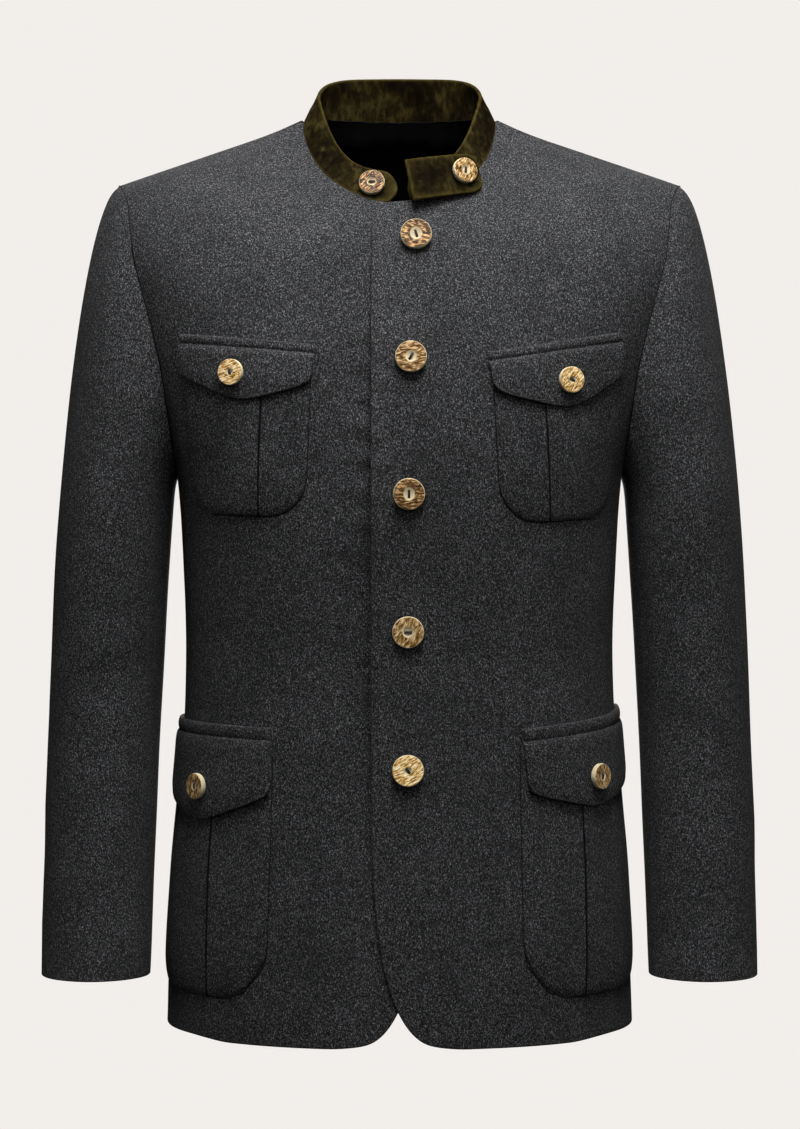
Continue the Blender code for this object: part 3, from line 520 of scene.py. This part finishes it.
def smooth_line(points, step):
    """Points a fixed step apart along a line."""
    points = np.array(points)
    run = np.concatenate([[0], np.cumsum(np.linalg.norm(np.diff(points, axis=0), axis=1))])
    places = np.linspace(0, run[-1], max(3, int(run[-1] / step)))
    return np.stack([np.interp(places, run, points[:, k]) for k in range(3)], axis=1)


def press_edge(points, edge):
    """Presses a patch down along its edge, then lets it follow the creases of the cloth below."""
    away = np.min([np.linalg.norm(points - place, axis=1) for place in edge], axis=0)
    out = points[:, :2] / np.linalg.norm(points[:, :2], axis=1, keepdims=True)
    points[:, :2] -= out * (PRESS * np.exp(-(away / PRESS_REACH) ** 2))[:, None]
    return drape(points, BODY_MIDDLE, BODY_CREASES)


shadow_tubes = bmesh.new()
for pocket, (cut, area) in POCKET_CUTS.items():
    for side in ("left", "right"):
        node = f"{pocket}_{side}"
        round_edge = patch_edge(node)
        edge = smooth_line(round_edge + round_edge[:1], PRESS_STEP)
        piece = add_cloth(node, (wool, wool),
                          cloth_wall(node, BODY_MIDDLE, POCKET_ROLL, sharp=PATCH_ANGLE),
                          lambda points: press_edge(points, edge))
        far = max(abs(p.x) for p in round_edge)
        middle = sum(abs(p.x) for p in round_edge) / len(round_edge)
        shown = [p for p in round_edge if abs(p.x) < middle + SEAM_SHOWN * (far - middle)]
        gap = max(range(len(shown)), key=lambda k: (shown[k] - shown[k - 1]).length)
        # A thin near-black tube round the patch's edge: painted shadow in the gap under the edge.
        edge_shadow = press_edge(smooth_line(shown[gap:] + shown[:gap], THREAD_STEP), edge)
        off = edge_shadow - edge_shadow.mean(axis=0)
        edge_shadow += SEAM_SINK * off / np.linalg.norm(off, axis=1, keepdims=True)
        # A near-black tube under the pleat's near fold: painted shadow in the fold's gap.
        pleat_shadow = drape(smooth_line(pleat_fold(node), THREAD_STEP), BODY_MIDDLE, BODY_CREASES)
        pleat_shadow[:, :2] *= 1 + PLEAT_RISE / np.linalg.norm(pleat_shadow[:, :2], axis=1, keepdims=True)
        pleat_shadow_radii = [r * (1 + PLEAT_UNEVEN * noise.noise(Vector(p) / PLEAT_UNEVEN_SPAN))
                       for r, p in zip(np.linspace(*PLEAT_SHADOW, len(pleat_shadow)).tolist(), pleat_shadow)]
        for line, radii in ((edge_shadow, [POCKET_EDGE_SHADOW] * len(edge_shadow)), (pleat_shadow, pleat_shadow_radii)):
            add_tube(shadow_tubes, [Vector(p) for p in line], radii, 0)
add_thread_and_shadow_lines("pocket_seams", shadow_tubes)

# Pocket flaps
# Doubled wool flaps that end in a blunt point. Their top is turned down into a rolled fold and stitched
# through, which leaves a groove under the fold; along the end nearest the front edge a thin near-black tube
# paints the shadow in the gap there.

FLAP_CUTS = {"chest_flap": ((0.114, 0.054), 0.0051), "hip_flap": ((0.160, 0.078), 0.0107)}
FLAP_HANGS = 0.022
FLAP_LEVELS = 3
FLAP_END = 0.006
FLAP_END_SHADOW = 0.00045

shadow_tubes = bmesh.new()
for flap, (cut, area) in FLAP_CUTS.items():
    for side in ("left", "right"):
        node = f"{flap}_{side}"
        round_edge = smooth_line(patch_edge(node), PRESS_STEP)
        edge = round_edge[round_edge[:, 2] < round_edge[:, 2].max() - FLAP_HANGS]
        piece = add_cloth(node, (wool, wool),
                          cloth_wall(node, BODY_MIDDLE, POCKET_ROLL, sharp=PATCH_ANGLE),
                          lambda points: press_edge(points, edge), FLAP_LEVELS)
        near = np.abs(round_edge[:, 0])
        end = round_edge[near < near.min() + FLAP_END]
        # A near-black tube along the flap's near end: painted shadow in the gap under it.
        end_shadow = press_edge(end[np.argsort(end[:, 2])], edge)
        add_tube(shadow_tubes, [Vector(p) for p in end_shadow], [FLAP_END_SHADOW] * len(end_shadow), 0)
add_thread_and_shadow_lines("flap_seams", shadow_tubes)

# Sleeves
# Two-piece wool sleeves, a wide top sleeve over a narrow under sleeve, set in with a little fullness at the
# head. They bend forward at the elbow, where the wool has a few soft breaks. Along the armhole seams, and the
# backs' middle seam, a near-black tube that thins upwards paints the shade in the seams' grooves.

TOP_SLEEVE_CUT = (0.270, 0.660)
TOP_SLEEVE_AREA = 0.142
UNDER_SLEEVE_CUT = (0.098, 0.430)
UNDER_SLEEVE_AREA = 0.036
SLEEVE_MIDDLE = 0.234
SLEEVE_CREASES = {
    "left": (
        Crease("front", (0.197, -0.372), (0.222, -0.388), (0.256, -0.392), 0.012, 0.0016),
        Crease("front", (0.199, -0.420), (0.226, -0.440), (0.262, -0.446), 0.013, 0.0014),
        Crease("front", (0.204, -0.474), (0.230, -0.488), (0.258, -0.492), 0.011, 0.0011),
        Crease("front", (0.214, -0.232), (0.228, -0.262), (0.236, -0.300), 0.012, 0.0012),
        Crease("left", (0.060, -0.396), (0.030, -0.404), (0.004, -0.396), 0.012, 0.0014),
        Crease("left", (0.056, -0.452), (0.024, -0.462), (-0.004, -0.452), 0.014, 0.0012),
        Crease("back", (0.206, -0.350), (0.232, -0.372), (0.262, -0.372), 0.014, 0.0016),
        Crease("back", (0.208, -0.440), (0.236, -0.452), (0.266, -0.446), 0.013, 0.0013),
        Crease("left", (-0.030, -0.560), (-0.018, -0.610), (-0.024, -0.655), 0.014, 0.0010),
    ),
    "right": (
        Crease("front", (-0.196, -0.384), (-0.222, -0.398), (-0.252, -0.398), 0.012, 0.0015),
        Crease("front", (-0.200, -0.436), (-0.230, -0.452), (-0.264, -0.452), 0.014, 0.0015),
        Crease("front", (-0.206, -0.496), (-0.232, -0.506), (-0.262, -0.502), 0.011, 0.0010),
        Crease("front", (-0.212, -0.226), (-0.226, -0.258), (-0.232, -0.292), 0.011, 0.0012),
        Crease("right", (0.058, -0.408), (0.026, -0.416), (0.000, -0.406), 0.013, 0.0013),
        Crease("right", (0.054, -0.470), (0.022, -0.478), (-0.008, -0.466), 0.013, 0.0011),
        Crease("back", (-0.208, -0.362), (-0.234, -0.382), (-0.260, -0.380), 0.013, 0.0015),
        Crease("back", (-0.206, -0.452), (-0.236, -0.466), (-0.264, -0.458), 0.014, 0.0014),
        Crease("right", (-0.028, -0.548), (-0.016, -0.600), (-0.022, -0.640), 0.013, 0.0010),
    ),
}

for side, sign in (("left", 1), ("right", -1)):
    for sleeve, cut, area in (("top_sleeve", TOP_SLEEVE_CUT, TOP_SLEEVE_AREA),
                              ("under_sleeve", UNDER_SLEEVE_CUT, UNDER_SLEEVE_AREA)):
        node = f"{sleeve}_{side}"
        middle = (sign * SLEEVE_MIDDLE, 0.0)
        piece = add_cloth(node, (wool, lining), cloth_wall(node, middle),
                          lambda points: drape(points, middle, SLEEVE_CREASES[side]))

ARMHOLE_SEAMS = [(f"{body}_{side}", f"{sleeve}_sleeve_{side}") for side in ("left", "right")
                 for body, sleeve in (("front", "top"), ("back", "top"), ("back", "under"))]
BODY_SEAMS = [("back_left", "back_right")]
SEAM_NEAR = 0.0012
SEAM_STEP = 0.005
SEAM_GROOVE_SHADOW = (0.00055, 0.00025)


def seam_edge(node, other):
    """The edge of a wall's outside along the piece that it is sewn to, from below up."""
    shape = merged_wall(node)
    sewn = cad_tree([other])
    regions = cloth_regions(shape, SEAM_ANGLE)
    outside = set(max(regions[:2], key=lambda faces: facing(faces, BODY_MIDDLE)))
    rim = [e for e in shape.edges if len(outside.intersection(e.link_faces)) == 1
           and all(sewn.find_nearest(v.co)[3] < SEAM_NEAR for v in e.verts)]
    line = {tuple(v.co) for e in rim for v in e.verts}
    shape.free()
    return sorted(line, key=lambda p: p[2])


shadow_tubes = bmesh.new()
# Near-black tubes along the armhole and middle back seams: painted shade in the seams' grooves.
for node, other in ARMHOLE_SEAMS + BODY_SEAMS:
    line = drape(smooth_line(seam_edge(node, other), SEAM_STEP), BODY_MIDDLE, BODY_CREASES)
    add_tube(shadow_tubes, [Vector(p) for p in line], np.linspace(*SEAM_GROOVE_SHADOW, len(line)).tolist(), 0)
add_thread_and_shadow_lines("body_seams", shadow_tubes)

# Stand collar and tab
# Cotton velvet folded over a stiff canvas and sewn to the neckline, with a tab buttoned on the left end and a
# row of stitches inside. Handling brushes the pile this way and that, which leaves paler and darker streaks.

COLLAR_CUT = (0.430, 0.046)
COLLAR_AREA = 0.0149
TAB_CUT = (0.058, 0.042)
TAB_AREA = 0.0024
VELVET_ROLL = 0.0012
VELVET_CORNER = math.radians(70)


def olive_velvet():
    """Cotton velvet, an upright cut pile: deep olive seen into, browner or paler where handling has brushed
    it, and paler along rolled edges: partly wear where the pile opens, partly a painted highlight for the
    sheen there."""
    smudge, tuft, patch = 0.0045, 0.0006, 0.022
    tree, shader, velvet = new_material("olive_velvet")
    place = add_node(tree, "TexCoord").outputs["Object"]
    brushed = add_node(tree, "Mapping", Vector=place, Scale=(1, 1, 0.45)).outputs["Vector"]
    smudges = add_node(tree, "TexNoise", Vector=brushed, Scale=1 / smudge, Detail=5.0, Roughness=0.6,
                       Distortion=0.3)
    patches = add_node(tree, "TexNoise", {"noise_dimensions": "4D"}, Vector=place, W=2.0, Scale=1 / patch,
                       Detail=2.0)
    tufts = add_node(tree, "TexNoise", Vector=place, Scale=1 / tuft, Detail=1.0)
    lean = add_node(tree, "Mix", {"data_type": "FLOAT"}, Factor_Float=0.45,
                    A_Float=smudges.outputs["Fac"], B_Float=patches.outputs["Fac"])
    pile = add_node(tree, "ValToRGB", Fac=lean.outputs[0], stops=(
        (0.38, "#080502"), (0.46, "#100c04"), (0.53, "#1a1507"), (0.61, "#2c2611")))
    # Paler colour on the rolled edges: partly wear, partly a painted highlight for the sheen that grazing
    # light gives them.
    folded_edge = add_node(tree, "Attribute", {"attribute_name": "fold"}).outputs["Fac"]
    thin = add_node(tree, "Math", {"operation": "POWER"}, Value=folded_edge, Value_001=5.0).outputs[0]
    edge_wear_and_highlight = add_node(tree, "Math", {"operation": "MULTIPLY"}, Value=thin, Value_001=smudges.outputs["Fac"])
    colour = add_node(tree, "Mix", {"data_type": "RGBA"}, Factor_Float=edge_wear_and_highlight.outputs[0],
                      A_Color=pile.outputs["Color"], B_Color=linear("#3c3416"))
    bump = add_node(tree, "Bump", Strength=0.4, Distance=0.0005, Height=tufts.outputs["Fac"])
    fill_inputs(tree, shader, Base_Color=colour.outputs[2], Normal=bump.outputs["Normal"], Roughness=0.9,
                Specular_IOR_Level=0.02, Sheen_Weight=0.035, Sheen_Roughness=0.3,
                Sheen_Tint=linear("#8a7434"))
    return velvet


velvet = olive_velvet()
for node, cut, area, under in (("collar", COLLAR_CUT, COLLAR_AREA, ["back_left", "back_right"]),
                               ("collar_tab", TAB_CUT, TAB_AREA, ["collar", "front_left"])):
    piece = add_cloth(node, (velvet, velvet),
                      cloth_wall(node, BODY_MIDDLE, VELVET_ROLL, VELVET_CORNER), lambda points: points)

STITCH = 0.0030
STITCH_STEP = 0.0040
STITCH_RADIUS = 0.00035
STITCH_ROW = 0.0119
STITCH_FLAT = 0.6
STITCH_TURNS = np.radians(np.linspace(-72, 72, 60))

row = smooth_line([inside_collar(turn, STITCH_ROW) for turn in STITCH_TURNS], STITCH_STEP)
stitches = bmesh.new()
for point, after in zip(row, row[1:]):
    along = Vector(after - point).normalized() * STITCH / 2
    middle = Vector((point + after) / 2)
    raised = middle - Vector((middle.x, middle.y, 0)).normalized() * STITCH_RADIUS / 2
    path = [middle - along, raised - along * STITCH_FLAT, raised + along * STITCH_FLAT, middle + along]
    add_tube(stitches, path, [STITCH_RADIUS / 2, STITCH_RADIUS, STITCH_RADIUS, STITCH_RADIUS / 2], 0)
add_thread_and_shadow_lines("collar_stitches", stitches)

# Stag-horn buttons
# Discs sawn from an antler's shaft: the face keeps the streaked brown bark, the sawn sides show pale bone,
# and a dished middle has two holes, through which dark thread ties the button to the cloth.

# Tone runs from dark bark to pale. Streaks and thread have a turn in degrees, and the dish has shares of the
# button's radius and of bare bone.
Button = namedtuple("Button", "node radius tone streaks dish_wide dish_high tied dish_bone")
BUTTONS = (
    Button("front_button_1", 0.012, 0.06, 172, 0.36, 0.40, 108, 0.65),
    Button("front_button_2", 0.012, 0.22, 8, 0.33, 0.34, 60, 0.9),
    Button("front_button_3", 0.012, 0.11, 178, 0.33, 0.38, 90, 1.0),
    Button("front_button_4", 0.012, 0.37, 64, 0.33, 0.31, 0, 1.0),
    Button("front_button_5", 0.012, 1.00, 32, 0.24, 0.22, 128, 1.0),
    Button("chest_button_right", 0.010, 0.77, 18, 0.26, 0.24, 98, 1.0),
    Button("chest_button_left", 0.010, 0.72, 48, 0.27, 0.22, 152, 1.0),
    Button("hip_button_right", 0.010, 0.20, 84, 0.30, 0.30, 90, 1.0),
    Button("hip_button_left", 0.010, 0.32, 96, 0.30, 0.30, 84, 1.0),
    Button("collar_button", 0.010, 0.03, 40, 0.36, 0.31, 2, 0.5),
    Button("tab_button", 0.010, 0.23, 62, 0.33, 0.38, 80, 0.5),
)
BUTTON_HEIGHT = 0.0046
BUTTON_GAP = 0.0007
BUTTON_SIDES = 72
SIDE_PROFILE = ((0.0, 0.0), (0.86, 0.0), (0.96, 0.06), (1.0, 0.22), (1.0, 0.76), (0.994, 0.90), (0.980, 0.98))
FACE_FROM, FACE_RINGS = 0.955, 10
DISH_PROFILE = ((1.18, 1.0), (1.0, 0.97), (0.88, 0.90), (0.66, 0.83), (0.33, 0.80), (0.0, 0.79))
DISH_RIM = 1.1
BUTTON_MERGE = 1e-7
BARK_GROOVE = 0.00016
BARK_GRAIN = (2.5, 9.0)
BARK_SHIFT = (5.0, 3.0)
THREADS = 3
THREAD_RADIUS = 0.00034
THREAD_SPACING = 1.9
THREAD_BELOW = 1.2
THREAD_SHARES = (0.08, 0.25, 0.5, 0.75, 0.92)
THREAD_LIFT, THREAD_BOW = 1.2, 1.6
HOLE_SPACING = 0.52


def stag_horn():
    """Polished antler: streaked bark from near black to gold on the face, pale bone where it is sawn."""
    tree, shader, horn = new_material("stag_horn")
    place = add_node(tree, "UVMap", {"uv_map": "bark"}).outputs["UV"]
    along = add_node(tree, "Mapping", Vector=place, Scale=(2.4, 9.0, 1.0)).outputs["Vector"]
    streaks = add_node(tree, "TexNoise", Vector=along, Scale=1.0, Detail=3.0, Roughness=0.6, Distortion=0.7)
    blots = add_node(tree, "TexNoise", Vector=place, Scale=1.9, Detail=3.0, Roughness=0.6)
    mixed = add_node(tree, "Mix", {"data_type": "FLOAT"}, Factor_Float=0.25,
                     A_Float=streaks.outputs["Fac"], B_Float=blots.outputs["Fac"])
    dark = add_node(tree, "ValToRGB", Fac=mixed.outputs[0], stops=(
        (0.41, "#080301"), (0.48, "#241004"), (0.53, "#55300f"), (0.58, "#b88a50")))
    pale = add_node(tree, "ValToRGB", Fac=mixed.outputs[0], stops=(
        (0.41, "#70491c"), (0.47, "#c2924a"), (0.53, "#ebcc88"), (0.58, "#fdf3d2")))
    tone = add_node(tree, "Attribute", {"attribute_name": "tone"}).outputs["Fac"]
    bare = add_node(tree, "Attribute", {"attribute_name": "bare"}).outputs["Fac"]
    bark = add_node(tree, "Mix", {"data_type": "RGBA"}, Factor_Float=tone,
                    A_Color=dark.outputs["Color"], B_Color=pale.outputs["Color"])
    bone = add_node(tree, "Mix", {"data_type": "RGBA"}, Factor_Float=bare,
                    A_Color=bark.outputs[2], B_Color=linear("#c4b694"))
    bump = add_node(tree, "Bump", Strength=0.3, Distance=0.0003, Height=mixed.outputs[0])
    fill_inputs(tree, shader, Base_Color=bone.outputs[2], Normal=bump.outputs["Normal"], Roughness=0.4,
                Specular_IOR_Level=0.12)
    return horn


def dark_thread():
    """Waxed cotton button thread, twisted and nearly black."""
    tree, shader, thread = new_material("dark_thread")
    fill_inputs(tree, shader, Base_Color=linear("#1a130d"), Roughness=0.8)
    return thread


horn = stag_horn()
thread = dark_thread()


def button_seat(node):
    """A button's place from its CAD disc: x to the right and y up as seen from outside, z off the cloth."""
    points = np.array([v.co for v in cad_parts[node].data.vertices])
    points = np.unique(points.round(6), axis=0)
    middle = points.mean(axis=0)
    off = Vector(np.linalg.svd(points - middle)[2][2])
    if off.to_2d().dot(Vector(middle[:2])) < 0:
        off.negate()
    up = Vector((0, 0, 1)) - off * off.z
    up.normalize()
    base = Vector(middle) + off * min((Vector(p - middle)).dot(off) for p in points)
    right = up.cross(off)
    return Matrix((right, up, off)).transposed().to_4x4(), base


def tie_button(shape, button):
    """Adds threads that come up through one hole, lie over the dish's floor and go down the other."""
    tied = math.radians(button.tied)
    along = Vector((math.cos(tied), math.sin(tied), 0))
    across = Vector((-along.y, along.x, 0))
    holes = HOLE_SPACING * button.radius
    floor = DISH_PROFILE[-1][1] * BUTTON_HEIGHT
    for k in range(THREADS):
        aside = across * (k - (THREADS - 1) / 2) * THREAD_SPACING * THREAD_RADIUS
        path = [aside - along * holes / 2 + Vector((0, 0, -THREAD_BELOW * BUTTON_GAP)),
                aside - along * holes / 2 + Vector((0, 0, floor))]
        for share in THREAD_SHARES:
            high = floor + THREAD_RADIUS * (THREAD_LIFT + THREAD_BOW * math.sin(math.pi * share))
            path.append(aside + along * holes * (share - 0.5) + Vector((0, 0, high)))
        path += [Vector((-p.x, -p.y, p.z)) + 2 * aside for p in path[1::-1]]
        add_tube(shape, path, [THREAD_RADIUS] * len(path), 1)


def add_button(button, seed):
    """Builds a button flat, then seats it where its CAD disc is."""
    shape = bmesh.new()
    bare = shape.verts.layers.float.new("bare")
    tone = shape.verts.layers.float.new("tone")
    bark = shape.loops.layers.uv.new("bark")
    lean = math.radians(button.streaks)

    def flat_uv(co):
        x, y = co.x / button.radius, co.y / button.radius
        return (x * math.cos(lean) + y * math.sin(lean) + BARK_SHIFT[0] * seed,
                y * math.cos(lean) - x * math.sin(lean) + BARK_SHIFT[1] * seed)

    def dish_reach(turn):
        return button.dish_wide * button.dish_high / math.hypot(
            button.dish_high * math.cos(turn), button.dish_wide * math.sin(turn))

    rings = []
    turns = [2 * math.pi * k / BUTTON_SIDES for k in range(BUTTON_SIDES)]
    for reach, high in SIDE_PROFILE:
        rings.append([(reach, high, t, 1.0) for t in turns])
    for k in range(FACE_RINGS):
        share = k / FACE_RINGS
        rings.append([(FACE_FROM + (DISH_PROFILE[0][0] * dish_reach(t) - FACE_FROM) * share, 1.0, t, 0.0)
                      for t in turns])
    for reach, high in DISH_PROFILE:
        dish_bare = 0.0 if reach > DISH_RIM else button.dish_bone
        rings.append([(reach * dish_reach(t), high, t, dish_bare) for t in turns])
    loops = []
    for ring in rings:
        loop = []
        for reach, high, turn, is_bare in ring:
            co = Vector((reach * math.cos(turn), reach * math.sin(turn), 0)) * button.radius
            co.z = high * BUTTON_HEIGHT
            if not is_bare:
                u, v = flat_uv(co)
                co.z += BARK_GROOVE * noise.noise(Vector((BARK_GRAIN[0] * u, BARK_GRAIN[1] * v, seed)))
            vert = shape.verts.new(co)
            vert[bare], vert[tone] = is_bare, button.tone
            loop.append(vert)
        loops.append(loop)
    for low, high in zip(loops, loops[1:]):
        for k in range(BUTTON_SIDES):
            after = (k + 1) % BUTTON_SIDES
            shape.faces.new((low[k], low[after], high[after], high[k]))
    bmesh.ops.remove_doubles(shape, verts=shape.verts, dist=BUTTON_MERGE)
    bmesh.ops.dissolve_degenerate(shape, edges=shape.edges, dist=BUTTON_MERGE)
    for face in shape.faces:
        face.smooth = True
        for corner in face.loops:
            corner[bark].uv = flat_uv(corner.vert.co)
    tie_button(shape, button)
    bmesh.ops.recalc_face_normals(shape, faces=shape.faces)
    turn, base = button_seat(button.node)
    bmesh.ops.transform(shape, matrix=Matrix.Translation(base) @ turn, verts=shape.verts)
    name = button.node + "_horn"
    piece = add_object(name, finished_mesh(name, shape), (horn, thread))
    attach(piece, "root")
    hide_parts(button.node)


for seed, button in enumerate(BUTTONS):
    add_button(button, seed)

# Studio
# A pale round room of paper with a bowed foot. Soft lights stand close above the front, further off before
# it, at both sides and behind, as for a catalogue.

FLOOR = -1.45
ROOM_RADIUS = 9.0
ROOM_BEND = 2.0
ROOM_TOP = 9.0
ROOM_SIDES = 96
BEND_STEPS = 17
BACKDROP = "#f2eeeb"
AIR_LIGHT = 0.05
Light = namedtuple("Light", "name place aim size watts")
LIGHTS = (
    Light("top_light", (0.08, -0.55, 0.95), (0, -0.06, -0.15), (0.6, 1.0), 43),
    Light("front_light", (0.3, -3.2, 0.9), (0, 0, -0.4), (1.8, 1.6), 23),
    Light("side_light", (-2.2, -0.4, 0.1), (-0.2, 0, -0.35), (1.2, 1.8), 6.5),
    Light("side_light", (2.2, -0.4, 0.1), (0.2, 0, -0.35), (1.2, 1.8), 6.5),
    Light("back_light", (0, 2.6, 0.4), (0, 0, -0.4), (0.5, 1.6), 55),
)


def studio_room():
    """A round room of paper that shines evenly, so that it stays one tone, and doesn't light the jacket."""
    tree, shader, paper = new_material("pale_paper")
    fill_inputs(tree, shader, Base_Color=linear("#000000"), Roughness=1.0, Specular_IOR_Level=0.0,
                Emission_Color=linear(BACKDROP), Emission_Strength=1.0)
    bend = [(ROOM_RADIUS - ROOM_BEND + ROOM_BEND * math.sin(a), FLOOR + ROOM_BEND * (1 - math.cos(a)))
            for a in np.linspace(0, math.pi / 2, BEND_STEPS)]
    outline = [(0.0, FLOOR), *bend, (ROOM_RADIUS, ROOM_TOP)]
    shape = bmesh.new()
    corners = [shape.verts.new((reach, 0, height)) for reach, height in outline]
    edges = [shape.edges.new(pair) for pair in zip(corners, corners[1:])]
    bmesh.ops.spin(shape, geom=corners + edges, cent=(0, 0, 0), axis=(0, 0, 1), angle=2 * math.pi,
                   steps=ROOM_SIDES, use_merge=True)
    bmesh.ops.remove_doubles(shape, verts=shape.verts, dist=MERGE)
    for face in shape.faces:
        face.smooth = True
    room = add_object("studio_room", finished_mesh("studio_room", shape), (paper,))
    room.visible_diffuse = room.visible_glossy = room.visible_shadow = False


def soft_light(light):
    """Links an oblong light that looks at its aim."""
    lamp = bpy.data.lights.new(light.name, "AREA")
    lamp.shape = "RECTANGLE"
    lamp.size, lamp.size_y = light.size
    lamp.energy = light.watts
    made = add_object(light.name, lamp)
    made.location = light.place
    made.rotation_euler = (Vector(light.aim) - Vector(light.place)).to_track_quat("-Z", "Y").to_euler()


studio_room()
for light in LIGHTS:
    soft_light(light)

world = bpy.data.worlds.new("studio_air")
world.use_nodes = True
world.node_tree.nodes["Background"].inputs["Color"].default_value = linear(BACKDROP)
world.node_tree.nodes["Background"].inputs["Strength"].default_value = AIR_LIGHT
bpy.context.scene.world = world
bpy.context.scene.view_settings.view_transform = "Standard"

# Camera
# A long lens level with the jacket's middle and 2.5 m off, so that the sides hardly close in. There one pixel
# is 0.8 mm, which frames the jacket as the photograph does.

IMAGE_SIZE = (800, 1129)
PIXEL = 0.0008
CAMERA_AWAY = 2.5
CAMERA_PLACE = (0.0004, -CAMERA_AWAY, -0.3556)
SENSOR = 36.0

eye = bpy.data.cameras.new("camera")
eye.sensor_width = eye.sensor_height = SENSOR
eye.lens = SENSOR * CAMERA_AWAY / (max(IMAGE_SIZE) * PIXEL)
camera = add_object("camera", eye)
camera.location = CAMERA_PLACE
camera.rotation_euler = (math.radians(90), 0, 0)
bpy.context.scene.camera = camera

bpy.context.view_layer.update()
